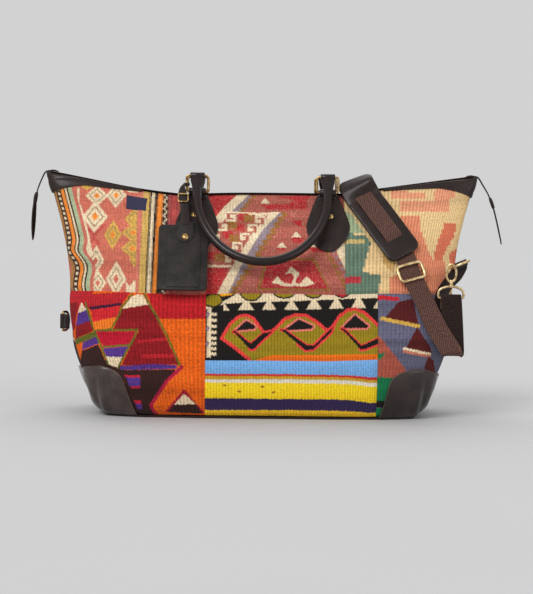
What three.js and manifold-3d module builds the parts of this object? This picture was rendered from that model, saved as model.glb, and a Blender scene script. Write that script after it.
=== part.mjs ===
// Kilim weekender bag: a patchwork carpet-cloth holdall with leather corners and zip ears, rolled
// handles on brass rings, a luggage tag and a clip-on shoulder strap with a pad.
// Millimetres, +Z up. The origin is the middle of the base's underside, and -Y is the bag's front.

import * as THREE from "three";
import { mergeVertices } from "three/addons/utils/BufferGeometryUtils.js";
import Module from "manifold-3d";

const wasm = await Module();
wasm.setup();

// Body: widths are seam to seam, depths are front to rear
const BAG_HEIGHT = 308;
const EAR_RISE = 28;
const EAR_START = 0.36;
const BASE_WIDTH = 430;
const BELLY_WIDTH = 529;
const NECK_WIDTH = 542;
const TOP_WIDTH = 604;
const BELLY_LEVEL = 150;
const NECK_LEVEL = 205;
const BASE_DEPTH = 200;
const BELLY_DEPTH = 232;
const TOP_DEPTH = 38;
const DEPTH_LEVEL = 75;
const SEAM_BASE_DEPTH = 120;
const SEAM_BELLY_DEPTH = 150;
const SEAM_TOP_DEPTH = 9;
const CORNER_POWER = 5;
const GUSSET_BULGE = 10;
const GUSSET_FOLD = 34;
const FOLD_LEVEL = 226;
const CLOTH = 3;
const GUSSET_CLOTH = 1.6;
const BASE_LEATHER = 3;
const SEAM_GAP = 0.4;

// Patch seams of the front, x and levels
const UPPER_LEFT_SEAM = -126;
const UPPER_RIGHT_SEAM = 114;
const LOWER_LEFT_SEAM = -76;
const LOWER_RIGHT_SEAM = 158;
const LONG_SEAM = 170;
const LONG_SEAM_DROP = 15;
const STRIPE_SEAM = 78;
const REAR_SEAM = 20;

// Leather trim
const TOP_EDGE = 1.6;
const EAR_STRIP = 9;
const EAR_CAP = 24;
const TRIM = 1.8;
const TRIM_GAP = 0.9;
const CORNER_GAP = 1.5;
const CORNER_REACH = 52;
const CORNER_RISE = 70;
const CORNER_WRAP = 0.42;
const FACING_THICK = 1.8;
const FACING_LAP = 2.2;
const CHAIN_WIDTH = 8;
const CHAIN_THICK = 3;

// Handles, their rings and tabs
const HANDLE_SPAN = 182;
const HANDLE_ROD = 12;
const HANDLE_DROP = 141;
const HANDLE_LEG = 30;
const HANDLE_TILT = 33.5;
const LOOP_WIDTH = 20;
const RING_WIDTH = 33;
const RING_HEIGHT = 25;
const RING_WIRE = 3.2;
const RING_STANDOFF = 10;
const RING_RISE = 2;
const TAB_WIDTH = 60;
const TAB_LENGTH = 84;
const TAB_THICK = 2.6;
const RIVET_DIAMETER = 8;
const RIVET_DROP = 35;
const RIVET_OUTWARD = 4;

// Luggage tag
const TAG_WIDTH = 68;
const TAG_HEIGHT = 102;
const TAG_THICK = 4;
const TAG_DROP = 72;
const TAG_TILT = 30;
const TAG_STRAP = 12;
const FLAP_WIDTH = 24;
const FLAP_HEIGHT = 32;
const STUD_DIAMETER = 10;

// Zip sliders and their leather pulls
const SLIDER_LENGTH = 12;
const SLIDER_WIDTH = 9.2;
const SLIDER_THICK = 3;
const PULL_LENGTH = 96;
const PULL_WIDTH = 9;

// Shoulder strap and its fittings
const WEBBING_WIDTH = 28;
const WEBBING_THICK = 2;
const PAD_WIDTH = 50;
const PAD_THICK = 5;
const CLIP_WIRE = 3.4;
const CLIP_LOOP_WIDTH = 38;
const CLIP_LOOP_HEIGHT = 17;
const HOOK_WIDTH = 17;
const HOOK_HEIGHT = 27;
const DEE_WIDTH = 29;
const DEE_HEIGHT = 24;
const SIDE_TAB_WIDTH = 20;
const SIDE_TAB_LEVEL = 128;
const SIDE_TAB_REACH = 10;
const LABEL_WIDTH = 29;
const LABEL_HEIGHT = 19;

const group = new THREE.Group();
group.name = "kilim_weekender_bag";

const FINISHES = {
  kilim: new THREE.MeshStandardMaterial({ color: 0xa8483a, roughness: 0.95 }),
  stripes: new THREE.MeshStandardMaterial({ color: 0x9aa6b8, roughness: 0.95 }),
  straw: new THREE.MeshStandardMaterial({ color: 0xb39a63, roughness: 0.95 }),
  hooks: new THREE.MeshStandardMaterial({ color: 0x4a3a30, roughness: 0.95 }),
  leather: new THREE.MeshStandardMaterial({ color: 0x33291f, roughness: 0.5 }),
  webbing: new THREE.MeshStandardMaterial({ color: 0x4a362d, roughness: 0.9 }),
  navy: new THREE.MeshStandardMaterial({ color: 0x2a3150, roughness: 0.9 }),
  brass: new THREE.MeshStandardMaterial({ color: 0xb9975b, roughness: 0.3, metalness: 1 }),
};

// Smooth curve through stations of [level, value, slope]
function profile(stations) {
  return (level) => {
    const last = stations.length - 2;
    let i = 0;
    while (i < last && level > stations[i + 1][0]) i += 1;
    const [z0, v0, m0] = stations[i];
    const [z1, v1, m1] = stations[i + 1];
    const span = z1 - z0;
    const t = Math.min(Math.max((level - z0) / span, 0), 1);
    const rise = t * t * (3 - 2 * t);
    const start = span * m0 * (t - 2 * t * t + t * t * t);
    const end = span * m1 * (t * t * t - t * t);
    return v0 + (v1 - v0) * rise + start + end;
  };
}

const seamX = profile([
  [0, BASE_WIDTH / 2, 0.62],
  [BELLY_LEVEL, BELLY_WIDTH / 2, 0.02],
  [NECK_LEVEL, NECK_WIDTH / 2, 0.22],
  [BAG_HEIGHT, TOP_WIDTH / 2, 0.28],
]);
const seamY = profile([
  [0, SEAM_BASE_DEPTH / 2, 0.3],
  [DEPTH_LEVEL, SEAM_BELLY_DEPTH / 2, 0],
  [BAG_HEIGHT, SEAM_TOP_DEPTH / 2, -0.2],
]);
const halfDepth = profile([
  [0, BASE_DEPTH / 2, 0.45],
  [DEPTH_LEVEL, BELLY_DEPTH / 2, 0],
  [BAG_HEIGHT, TOP_DEPTH / 2, -0.65],
]);
const gussetBulge = profile([
  [0, GUSSET_BULGE * 0.5, 0.1],
  [DEPTH_LEVEL, GUSSET_BULGE, 0],
  [FOLD_LEVEL, -GUSSET_FOLD, 0],
  [BAG_HEIGHT, -GUSSET_FOLD * 0.1, 0.1],
]);

function ramp(value, from, to) {
  return Math.min(Math.max((value - from) / (to - from), 0), 1);
}

// Height of the zip line over the share u of the half width: level in the middle, straight wings
function zipHeight(u) {
  const rise = Math.max(Math.abs(u) - EAR_START, 0) / (1 - EAR_START);
  return BAG_HEIGHT + EAR_RISE * rise;
}

const FLOOR = BASE_LEATHER + SEAM_GAP;

// Point of the bag's outer wall. The share h goes from base to zip line. The place q runs 0 to 1 along
// the front, left to right, 1 to 2 over the right gusset, 2 to 3 along the rear, 3 to 4 over the left one.
function wallPoint(q, h) {
  const turn = ((q % 4) + 4) % 4;
  const side = Math.floor(turn);
  const w = 2 * (turn - side) - 1;
  const level = h * BAG_HEIGHT;
  const sx = seamX(level);
  const sy = seamY(level);
  const facing = side < 2 ? 1 : -1;
  if (side % 2 === 1) {
    const out = sx + gussetBulge(level) * Math.cos((w * Math.PI) / 2) ** 2;
    return new THREE.Vector3(facing * out, facing * w * sy, FLOOR + h * (zipHeight(1) - FLOOR));
  }
  const u = Math.sin((w * Math.PI) / 2);
  const belly = Math.sqrt(Math.max(1 - Math.abs(u) ** CORNER_POWER, 0));
  const y = sy + (halfDepth(level) - sy) * belly;
  return new THREE.Vector3(facing * u * sx, -facing * y, FLOOR + h * (zipHeight(u) - FLOOR));
}

function wallNormal(q, h) {
  const along = wallPoint(q + 0.05, h).sub(wallPoint(q - 0.05, h));
  const up = wallPoint(q, h + 0.02).sub(wallPoint(q, h - 0.02));
  return along.cross(up).normalize();
}

function wallOffset(q, h, out) {
  return wallPoint(q, h).addScaledVector(wallNormal(q, h), out);
}

// Place q moved along the wall by a distance
function nudge(q, h, distance) {
  const step = distance < 0 ? -0.002 : 0.002;
  const speed = wallPoint(q + step, h).distanceTo(wallPoint(q, h)) / 0.002;
  return q + distance / speed;
}

// Place q on the front where the wall has this x
function frontAt(x, h) {
  const u = THREE.MathUtils.clamp(x / seamX(h * BAG_HEIGHT), -1, 1);
  return (Math.asin(u) / (Math.PI / 2) + 1) / 2;
}

// Share h of the front's wall at x and height z
function shareAt(x, z) {
  let h = z / BAG_HEIGHT;
  for (let i = 0; i < 6; i += 1) {
    const u = THREE.MathUtils.clamp(x / seamX(h * BAG_HEIGHT), -1, 1);
    h = (z - FLOOR) / (zipHeight(u) - FLOOR);
  }
  return h;
}

function frontOffset(x, z, out) {
  const h = shareAt(x, z);
  return wallOffset(frontAt(x, h), h, out);
}

function solidGeometry(points, faces) {
  const geometry = new THREE.BufferGeometry();
  let volume = 0;
  for (const [a, b, c] of faces) {
    volume += points[a].dot(new THREE.Vector3().crossVectors(points[b], points[c]));
  }
  const turned = volume < 0 ? faces.map(([a, b, c]) => [a, c, b]) : faces;
  geometry.setAttribute("position", new THREE.Float32BufferAttribute(
    points.flatMap((p) => [p.x, p.y, p.z]), 3));
  geometry.setIndex(turned.flat());
  return geometry;
}

// Closed solid through rings of points, each ring with as many points as the others
function loft(rings, closed = false) {
  const count = rings[0].length;
  const points = rings.flat();
  const faces = [];
  const bands = closed ? rings.length : rings.length - 1;
  for (let r = 0; r < bands; r += 1) {
    const next = (r + 1) % rings.length;
    for (let i = 0; i < count; i += 1) {
      const j = (i + 1) % count;
      faces.push([r * count + i, r * count + j, next * count + j]);
      faces.push([r * count + i, next * count + j, next * count + i]);
    }
  }
  if (!closed) {
    const end = (rings.length - 1) * count;
    for (let i = 1; i < count - 1; i += 1) {
      faces.push([0, i + 1, i]);
      faces.push([end, end + i, end + i + 1]);
    }
  }
  return solidGeometry(points, faces);
}

// Curved slab on the wall. The edges left and right give the place q for a share h, and bottom and top
// give the share h for a place q. The faces lie at the distances inner and outer from the wall.
function wallSlab({ left, right, bottom, top, across, rows, inner, outer }) {
  const edge = (side, v) => {
    let h = v;
    let q = side(h);
    for (let i = 0; i < 8; i += 1) {
      h = bottom(q) + (top(q) - bottom(q)) * v;
      q = side(h);
    }
    return q;
  };
  const points = [];
  for (const out of [outer, inner]) {
    for (let j = 0; j <= rows; j += 1) {
      const from = edge(left, j / rows);
      const to = edge(right, j / rows);
      for (let i = 0; i <= across; i += 1) {
        const q = from + ((to - from) * i) / across;
        const h = bottom(q) + ((top(q) - bottom(q)) * j) / rows;
        points.push(wallOffset(q, h, out));
      }
    }
  }
  const line = across + 1;
  const layer = line * (rows + 1);
  const faces = [];
  const quad = (a, b, c, d) => faces.push([a, b, c], [a, c, d]);
  for (let j = 0; j < rows; j += 1) {
    for (let i = 0; i < across; i += 1) {
      const a = j * line + i;
      quad(a, a + 1, a + line + 1, a + line);
      quad(layer + a, layer + a + line, layer + a + line + 1, layer + a + 1);
    }
    const start = j * line;
    const end = start + across;
    quad(start, start + line, layer + start + line, layer + start);
    quad(end, layer + end, layer + end + line, end + line);
  }
  for (let i = 0; i < across; i += 1) {
    const high = rows * line + i;
    quad(i, layer + i, layer + i + 1, i + 1);
    quad(high, high + 1, layer + high + 1, layer + high);
  }
  return solidGeometry(points, faces);
}

// Flat band along stations of point, width direction and width
function ribbon(stations, thick) {
  const rings = stations.map(({ at, across, width }, i) => {
    const before = stations[Math.max(i - 1, 0)].at;
    const after = stations[Math.min(i + 1, stations.length - 1)].at;
    const along = new THREE.Vector3().subVectors(after, before).normalize();
    const side = across.clone().addScaledVector(along, -across.dot(along)).normalize();
    const face = new THREE.Vector3().crossVectors(along, side).multiplyScalar(thick / 2);
    const half = side.multiplyScalar(width / 2);
    return [
      at.clone().add(half).add(face),
      at.clone().sub(half).add(face),
      at.clone().sub(half).sub(face),
      at.clone().add(half).sub(face),
    ];
  });
  return loft(rings);
}

function toSolid(geometry) {
  const bare = new THREE.BufferGeometry();
  bare.setAttribute("position", geometry.getAttribute("position"));
  if (geometry.index) bare.setIndex(geometry.index);
  const merged = mergeVertices(bare, 1e-4);
  const mesh = new wasm.Mesh({
    numProp: 3,
    vertProperties: new Float32Array(merged.getAttribute("position").array),
    triVerts: new Uint32Array(merged.index.array),
  });
  mesh.merge();
  return new wasm.Manifold(mesh);
}

function fromSolid(solid) {
  const mesh = solid.getMesh();
  const geometry = new THREE.BufferGeometry();
  geometry.setAttribute("position", new THREE.Float32BufferAttribute(mesh.vertProperties, 3));
  geometry.setIndex(Array.from(mesh.triVerts));
  return geometry;
}

function join(...geometries) {
  return fromSolid(geometries.map(toSolid).reduce((whole, piece) => whole.add(piece)));
}

function cut(geometry, ...cutters) {
  return fromSolid(cutters.map(toSolid).reduce((whole, piece) => whole.subtract(piece), toSolid(geometry)));
}

function add(name, geometry, finish, place) {
  const mesh = new THREE.Mesh(geometry, finish);
  mesh.name = name;
  if (place) geometry.applyMatrix4(place);
  group.add(mesh);
  return mesh;
}

// Placing matrix: turned about X, then Y, then Z, in degrees, then moved
function placed(x, y, z, rx = 0, ry = 0, rz = 0) {
  const turn = new THREE.Euler(rx * THREE.MathUtils.DEG2RAD, ry * THREE.MathUtils.DEG2RAD,
    rz * THREE.MathUtils.DEG2RAD, "ZYX");
  return new THREE.Matrix4().makeRotationFromEuler(turn).setPosition(x, y, z);
}

const HALF_TURN = new THREE.Matrix4().makeRotationZ(Math.PI);

// Rounded outline drawn in the XZ plane, centred, extruded through Y and centred there
function roundedShape(width, height, radius) {
  const x = width / 2;
  const y = height / 2;
  const shape = new THREE.Shape();
  shape.moveTo(-x + radius, -y);
  shape.lineTo(x - radius, -y);
  shape.quadraticCurveTo(x, -y, x, -y + radius);
  shape.lineTo(x, y - radius);
  shape.quadraticCurveTo(x, y, x - radius, y);
  shape.lineTo(-x + radius, y);
  shape.quadraticCurveTo(-x, y, -x, y - radius);
  shape.lineTo(-x, -y + radius);
  shape.quadraticCurveTo(-x, -y, -x + radius, -y);
  return shape;
}

function plate(shape, thick, segments = 3, bevel = 0) {
  const geometry = new THREE.ExtrudeGeometry(shape, {
    depth: thick - 2 * bevel,
    curveSegments: segments,
    bevelEnabled: bevel > 0,
    bevelThickness: bevel,
    bevelSize: bevel,
    bevelOffset: -bevel,
    bevelSegments: 1,
  });
  geometry.translate(0, 0, bevel - thick / 2);
  return geometry.rotateX(Math.PI / 2);
}

// Wire frame of rectangular outline
function wireFrame(width, height, wire, radius, bevel = wire * 0.28) {
  const shape = roundedShape(width, height, radius);
  shape.holes.push(roundedShape(width - 2 * wire, height - 2 * wire, Math.max(radius - wire, 0.8)));
  return plate(shape, wire, 1, bevel);
}

function box(width, depth, height) {
  return new THREE.BoxGeometry(width, depth, height);
}

// Leather rolled round a bar that lies along X
function barLoop(width, inside, outside) {
  const shape = new THREE.Shape();
  shape.absarc(0, 0, outside, 0, Math.PI * 2);
  const hole = new THREE.Path();
  hole.absarc(0, 0, inside, 0, Math.PI * 2);
  shape.holes.push(hole);
  const loop = new THREE.ExtrudeGeometry(shape, { depth: width, curveSegments: 4, bevelEnabled: false });
  return loop.translate(0, 0, -width / 2).rotateY(Math.PI / 2);
}

// Kilim patches of front and rear

const LOW = () => 0;
const gapShare = SEAM_GAP / 2 / BAG_HEIGHT;

function acrossShare(q) {
  const turn = ((q % 4) + 4) % 4;
  const side = Math.floor(turn);
  return side % 2 === 1 ? 1 : Math.abs(Math.sin((2 * (turn - side) - 1) * Math.PI / 2));
}

function longSeam(q) {
  const u = acrossShare(q);
  return (LONG_SEAM - LONG_SEAM_DROP * u ** 2.5) / BAG_HEIGHT;
}

function leatherTop(q) {
  const u = acrossShare(q);
  const leather = EAR_STRIP * ramp(u, 0.54, 0.86) + (EAR_CAP - EAR_STRIP) * ramp(u, 0.84, 1) ** 1.5;
  return 1 - (TOP_EDGE + leather) / BAG_HEIGHT;
}

function seam(x, side) {
  return (h) => frontAt(x + (side * SEAM_GAP) / 2, h);
}

function rearSeam(x, side) {
  return (h) => 2 + frontAt(x + (side * SEAM_GAP) / 2, h);
}

function corner(q, side) {
  return (h) => nudge(q, h, side * SEAM_GAP * (1 + 1.8 * ramp(h, 0.8, 1)));
}

function patch(name, finish, left, right, bottom, top, across, rows, thick = CLOTH) {
  const geometry = wallSlab({
    left,
    right,
    bottom: (q) => bottom(q) + 2 * gapShare,
    top: (q) => top(q) - 2 * gapShare,
    across,
    rows,
    inner: -thick,
    outer: 0,
  });
  return add(name, geometry, finish);
}

const stripeSeam = () => STRIPE_SEAM / BAG_HEIGHT;

patch("kilim_front_diamonds", FINISHES.kilim, corner(0, 1), seam(UPPER_LEFT_SEAM, -1),
  longSeam, leatherTop, 9, 6);
patch("kilim_front_banded", FINISHES.kilim, seam(UPPER_LEFT_SEAM, 1), seam(UPPER_RIGHT_SEAM, -1),
  longSeam, leatherTop, 6, 6);
patch("kilim_front_stepped", FINISHES.straw, seam(UPPER_RIGHT_SEAM, 1), corner(1, -1),
  longSeam, leatherTop, 9, 6);
patch("kilim_front_peaks", FINISHES.kilim, corner(0, 1), seam(LOWER_LEFT_SEAM, -1),
  LOW, longSeam, 9, 6);
patch("kilim_front_hooks", FINISHES.hooks, seam(LOWER_LEFT_SEAM, 1), seam(LOWER_RIGHT_SEAM, -1),
  stripeSeam, longSeam, 6, 4);
patch("kilim_front_stripes", FINISHES.stripes, seam(LOWER_LEFT_SEAM, 1), seam(LOWER_RIGHT_SEAM, -1),
  LOW, stripeSeam, 6, 4);
patch("kilim_front_serrated", FINISHES.stripes, seam(LOWER_RIGHT_SEAM, 1), corner(1, -1),
  LOW, longSeam, 8, 6);
patch("kilim_rear_upper_left", FINISHES.kilim, corner(2, 1), rearSeam(REAR_SEAM, -1),
  longSeam, leatherTop, 7, 5);
patch("kilim_rear_upper_right", FINISHES.straw, rearSeam(REAR_SEAM, 1), corner(3, -1),
  longSeam, leatherTop, 7, 5);
patch("kilim_rear_lower_left", FINISHES.stripes, corner(2, 1), rearSeam(-REAR_SEAM, -1),
  LOW, longSeam, 7, 5);
patch("kilim_rear_lower_right", FINISHES.kilim, rearSeam(-REAR_SEAM, 1), corner(3, -1),
  LOW, longSeam, 7, 5);
patch("gusset_right", FINISHES.hooks, corner(1, 1), corner(2, -1), LOW, leatherTop, 6, 8, GUSSET_CLOTH);
patch("gusset_left", FINISHES.hooks, corner(3, 1), corner(4, -1), LOW, leatherTop, 6, 8, GUSSET_CLOTH);

// Leather ears at the ends of the zip, wrapped round from front to rear
const EAR_TO = 0.5 + Math.asin(0.63) / Math.PI;

function ear(name, turns) {
  const geometry = wallSlab({
    left: () => turns + EAR_TO,
    right: () => turns + 3 - EAR_TO,
    bottom: (q) => leatherTop(q) + 6 * gapShare,
    top: () => 1 - TOP_EDGE / BAG_HEIGHT,
    across: 18,
    rows: 1,
    inner: -GUSSET_CLOTH,
    outer: 1,
  });
  add(name, geometry, FINISHES.leather);
}

ear("ear_right", 0);
ear("ear_left", 2);

// Leather facings along both top edges, and the closed zip chain between them
const WING = [EAR_START, 0.6, 0.75, 0.87, 0.95, 0.985, 1];
const RUN = [...WING.map((u) => -u).reverse(), 0, ...WING];

function topStrip(inner, outer, low, high) {
  return loft(RUN.map((u) => {
    const x = (u * TOP_WIDTH) / 2;
    const z = zipHeight(u) + SEAM_GAP;
    return [
      new THREE.Vector3(x, outer(u), z + low),
      new THREE.Vector3(x, inner(u), z + low),
      new THREE.Vector3(x, inner(u), z + high),
      new THREE.Vector3(x, outer(u), z + high),
    ];
  }));
}

const topHalf = (u) => -wallPoint((Math.asin(u) / (Math.PI / 2) + 1) / 2, 1).y;
const facingInner = CHAIN_WIDTH / 2 + 0.6;

add("zip_facing_front", topStrip(() => -facingInner, (u) => -topHalf(u) - FACING_LAP, 0, FACING_THICK),
  FINISHES.leather);
add("zip_facing_rear", topStrip(() => facingInner, (u) => topHalf(u) + FACING_LAP, 0, FACING_THICK),
  FINISHES.leather);
add("zip_chain", topStrip(() => CHAIN_WIDTH / 2, () => -CHAIN_WIDTH / 2, 0, CHAIN_THICK), FINISHES.brass);

// Leather corner patches, wrapped from the front or rear round to the gusset
function cornerPatch(name, q, direction) {
  const round = (h) => Math.sqrt(Math.max(1 - (h * BAG_HEIGHT / CORNER_RISE) ** 5, 0.2));
  const wrap = (h) => q + direction * CORNER_WRAP * round(h);
  const reach = (h) => seamX(h * BAG_HEIGHT) - CORNER_REACH * round(h);
  const inward = (h) => q - direction * (1 - frontAt(reach(h), h));
  const geometry = wallSlab({
    left: direction > 0 ? inward : wrap,
    right: direction > 0 ? wrap : inward,
    bottom: () => 0.002,
    top: () => CORNER_RISE / BAG_HEIGHT,
    across: 11,
    rows: 4,
    inner: CORNER_GAP,
    outer: CORNER_GAP + TRIM,
  });
  add(name, geometry, FINISHES.leather);
}

cornerPatch("corner_front_right", 1, 1);
cornerPatch("corner_front_left", 4, -1);
cornerPatch("corner_rear_right", 2, -1);
cornerPatch("corner_rear_left", 3, 1);

// Leather base
const AROUND = 28;

function baseOutline(z) {
  return Array.from({ length: AROUND }, (_, i) => wallPoint((4 * (i + 0.5)) / AROUND, 0).setZ(z));
}

add("base_leather", loft([baseOutline(0), baseOutline(BASE_LEATHER)]), FINISHES.leather);

// Handle rings, tabs and rivets. Each ring stands on the top edge, its lower bar in the tab's loop.
const RING_X = HANDLE_SPAN / 2;
const ringBar = RING_HEIGHT - RING_WIRE;
const ringLowZ = BAG_HEIGHT + RING_RISE;
const ringHighZ = ringLowZ + ringBar;
const ringY = -(TOP_DEPTH / 2 + RING_STANDOFF);
const TAB_FOOT = ringLowZ - TAB_LENGTH;

function tabWidthAt(share) {
  const leaf = share < 0.42 ? Math.sin(ramp(share, 0, 0.42) * (Math.PI / 2)) ** 0.75
    : 1 - 0.52 * ramp(share, 0.42, 1) ** 1.6;
  return Math.max((TAB_WIDTH / 2) * leaf, 2.5);
}

function handleTab(x) {
  const share = (h) => (h * BAG_HEIGHT - TAB_FOOT) / TAB_LENGTH;
  const leaf = wallSlab({
    left: (h) => frontAt(x - tabWidthAt(share(h)), h),
    right: (h) => frontAt(x + tabWidthAt(share(h)), h),
    bottom: () => TAB_FOOT / BAG_HEIGHT,
    top: () => (BAG_HEIGHT - 3) / BAG_HEIGHT,
    across: 4,
    rows: 8,
    inner: TRIM_GAP * 1.2,
    outer: TRIM_GAP * 1.2 + TAB_THICK,
  });
  const loop = barLoop(LOOP_WIDTH + 3, RING_WIRE / 2 + 0.5, RING_WIRE / 2 + 3.2);
  const across = new THREE.Vector3(1, 0, 0);
  const neck = ribbon([
    { at: frontOffset(x, BAG_HEIGHT - 14, TRIM_GAP * 1.2 + TAB_THICK / 2), across, width: LOOP_WIDTH + 8 },
    { at: new THREE.Vector3(x, ringY + 1.5, ringLowZ - 3.5), across, width: LOOP_WIDTH + 3 },
  ], TAB_THICK);
  const hole = new THREE.CylinderGeometry(RING_WIRE / 2 + 0.5, RING_WIRE / 2 + 0.5, TAB_WIDTH, 8);
  hole.rotateZ(Math.PI / 2).translate(x, ringY, ringLowZ);
  return cut(join(leaf, neck, loop.translate(x, ringY, ringLowZ)), hole);
}

function handleRing(x) {
  const ring = wireFrame(RING_WIDTH, RING_HEIGHT, RING_WIRE, 4);
  return ring.translate(x, ringY, ringLowZ + ringBar / 2);
}

function rivet(x) {
  const z = ringLowZ - RIVET_DROP;
  const centre = frontOffset(x, z, TRIM_GAP * 1.2 + TAB_THICK + 0.3);
  const h = shareAt(x, z);
  const normal = wallNormal(frontAt(x, h), h);
  const r = RIVET_DIAMETER / 2;
  const head = new THREE.LatheGeometry([
    new THREE.Vector2(0, 0), new THREE.Vector2(r, 0), new THREE.Vector2(r * 0.7, 1.5),
    new THREE.Vector2(0, 2),
  ], 8);
  const turn = new THREE.Quaternion().setFromUnitVectors(new THREE.Vector3(0, 1, 0), normal);
  return head.applyQuaternion(turn).translate(centre.x, centre.y, centre.z);
}

for (const [face, turn] of [["front", null], ["rear", HALF_TURN]]) {
  for (const [side, x] of [["left", -RING_X], ["right", RING_X]]) {
    add(`handle_tab_${face}_${side}`, handleTab(x), FINISHES.leather, turn);
    add(`handle_ring_${face}_${side}`, handleRing(x), FINISHES.brass, turn);
    add(`rivet_${face}_${side}`, rivet(x + Math.sign(x) * RIVET_OUTWARD), FINISHES.brass, turn);
  }
}

// Rolled handle: a round rod in a U, flattened into a loop over the ring's upper bar at each end
function handle() {
  const reach = HANDLE_SPAN / 2;
  const deep = HANDLE_DROP - HANDLE_LEG;
  const bow = Array.from({ length: 17 }, (_, i) => {
    const a = (i / 16) * Math.PI;
    return new THREE.Vector3(-reach * Math.cos(a), 0, -HANDLE_LEG - deep * Math.sin(a));
  });
  const line = new THREE.CatmullRomCurve3([
    new THREE.Vector3(-reach, 0, -9), ...bow, new THREE.Vector3(reach, 0, -9),
  ], false, "centripetal");
  const round = new THREE.Shape();
  round.absarc(0, 0, HANDLE_ROD / 2, 0, Math.PI * 2);
  const rod = new THREE.ExtrudeGeometry(round, {
    steps: 20, curveSegments: 4, extrudePath: line, bevelEnabled: false,
  });
  const pieces = [rod];
  for (const x of [-reach, reach]) {
    const section = (width, thick, z) => [0, 1, 2, 3, 4, 5, 6, 7].map((i) => {
      const a = ((i + 0.5) / 8) * Math.PI * 2;
      return new THREE.Vector3(x + 1.08 * (width / 2) * Math.cos(a), 1.08 * (thick / 2) * Math.sin(a), z);
    });
    pieces.push(loft([
      section(LOOP_WIDTH - 1, 8.6, -2.4),
      section(LOOP_WIDTH - 2, 9.5, -8),
      section(HANDLE_ROD + 1, HANDLE_ROD + 1, -17),
      section(HANDLE_ROD - 1.5, HANDLE_ROD - 1.5, -24),
    ]));
    pieces.push(barLoop(LOOP_WIDTH, RING_WIRE / 2 + 0.5, RING_WIRE / 2 + 3).translate(x, 0, 0));
  }
  const bore = new THREE.CylinderGeometry(RING_WIRE / 2 + 0.5, RING_WIRE / 2 + 0.5, HANDLE_SPAN * 1.4, 8);
  return cut(join(...pieces), bore.rotateZ(Math.PI / 2));
}

const hung = placed(0, ringY, ringHighZ, -HANDLE_TILT, 0, 0);
add("front_handle", handle(), FINISHES.leather, hung);
add("rear_handle", handle(), FINISHES.leather, hung.clone().premultiply(HALF_TURN));

// Plain sewn label on the upper left patch
const LABEL_X = UPPER_LEFT_SEAM - 49;
const LABEL_Z = BAG_HEIGHT - 17;
add("sewn_label", wallSlab({
  left: (h) => frontAt(LABEL_X - LABEL_WIDTH / 2, h),
  right: (h) => frontAt(LABEL_X + LABEL_WIDTH / 2, h),
  bottom: () => shareAt(LABEL_X, LABEL_Z - LABEL_HEIGHT / 2),
  top: () => shareAt(LABEL_X, LABEL_Z + LABEL_HEIGHT / 2),
  across: 2,
  rows: 2,
  inner: TRIM_GAP,
  outer: TRIM_GAP + 0.9,
}), FINISHES.navy);

// Luggage tag, hung from the left side of the front left ring by a thong loop
const tagX = -RING_X - RING_WIDTH / 2 + RING_WIRE / 2;
const tagZ = ringLowZ + 9.5;
const tagPlace = placed(tagX, ringY, tagZ, -TAG_TILT, 0, 0);
const tagTop = -TAG_DROP + 9;

function tagStrap() {
  const point = (x, y, z, width) => ({
    at: new THREE.Vector3(x, y, z), across: new THREE.Vector3(1, 0, 0), width,
  });
  const strip = ribbon([
    point(-2.4, -2.6, -0.5, 3),
    point(-5.4, -4.6, -9, 7),
    point(-5, -4.6, -18, TAG_STRAP),
    point(-2, -4.2, -38, TAG_STRAP),
    point(0, -4, tagTop + 0.8, TAG_STRAP),
  ], 2).applyMatrix4(tagPlace);
  const slack = RING_WIRE / 2 + 0.95;
  const loop = barLoop(4, slack, slack + 1.8).rotateY(Math.PI / 2).translate(tagX, ringY, tagZ);
  const clear = new THREE.CylinderGeometry(slack, slack, 30, 8).rotateX(Math.PI / 2)
    .translate(tagX, ringY, tagZ);
  return cut(join(strip, loop), clear);
}

function tagPouch() {
  const body = plate(roundedShape(TAG_WIDTH, TAG_HEIGHT, 7), TAG_THICK, 3, 0.8)
    .translate(-2.5, 0, -TAG_DROP - TAG_HEIGHT / 2 + 6);
  const flap = plate(roundedShape(FLAP_WIDTH, FLAP_HEIGHT, 9), 3.4, 4)
    .translate(0, -TAG_THICK / 2 - 0.9, tagTop - FLAP_HEIGHT / 2);
  return join(body, flap);
}

function tagStud() {
  const r = STUD_DIAMETER / 2;
  const stud = new THREE.LatheGeometry([
    new THREE.Vector2(0, 0), new THREE.Vector2(r, 0), new THREE.Vector2(r * 0.75, 2),
    new THREE.Vector2(0, 2.6),
  ], 8);
  return stud.rotateX(Math.PI).translate(0, -TAG_THICK / 2 - 3, tagTop - FLAP_HEIGHT + 8);
}

add("tag_strap", tagStrap(), FINISHES.leather);
add("tag_buckle", wireFrame(15, 14, 2, 2, 0).translate(-4, -6.9, -26), FINISHES.brass, tagPlace);
add("tag_pouch", tagPouch(), FINISHES.leather, tagPlace);
add("tag_stud", tagStud(), FINISHES.brass, tagPlace);

// Zip sliders at the ear tips, each with a leather pull on its bridge
const zipSlope = Math.atan2(EAR_RISE / (1 - EAR_START), TOP_WIDTH / 2);
const sliderU = 1 - SLIDER_LENGTH / TOP_WIDTH;
const sliderX = (sliderU * TOP_WIDTH) / 2;
const sliderZ = zipHeight(sliderU) + SEAM_GAP + CHAIN_THICK + 0.4;
const BRIDGE = 7;

function slider() {
  const body = box(SLIDER_LENGTH, SLIDER_WIDTH, SLIDER_THICK * 0.6).translate(0, 0, SLIDER_THICK * 0.3);
  const bridge = wireFrame(BRIDGE + 2, BRIDGE, 1.7, 2, 0);
  bridge.translate(1.2, 0, SLIDER_THICK * 0.6 + BRIDGE / 2 - 1);
  return join(body, bridge);
}

// The pull hangs outward of the slider: two thong strands through the bridge, and a leather tab
const pinX = 1.2;
const pinZ = SLIDER_THICK * 0.6 + BRIDGE / 2 - 1.3;

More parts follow.
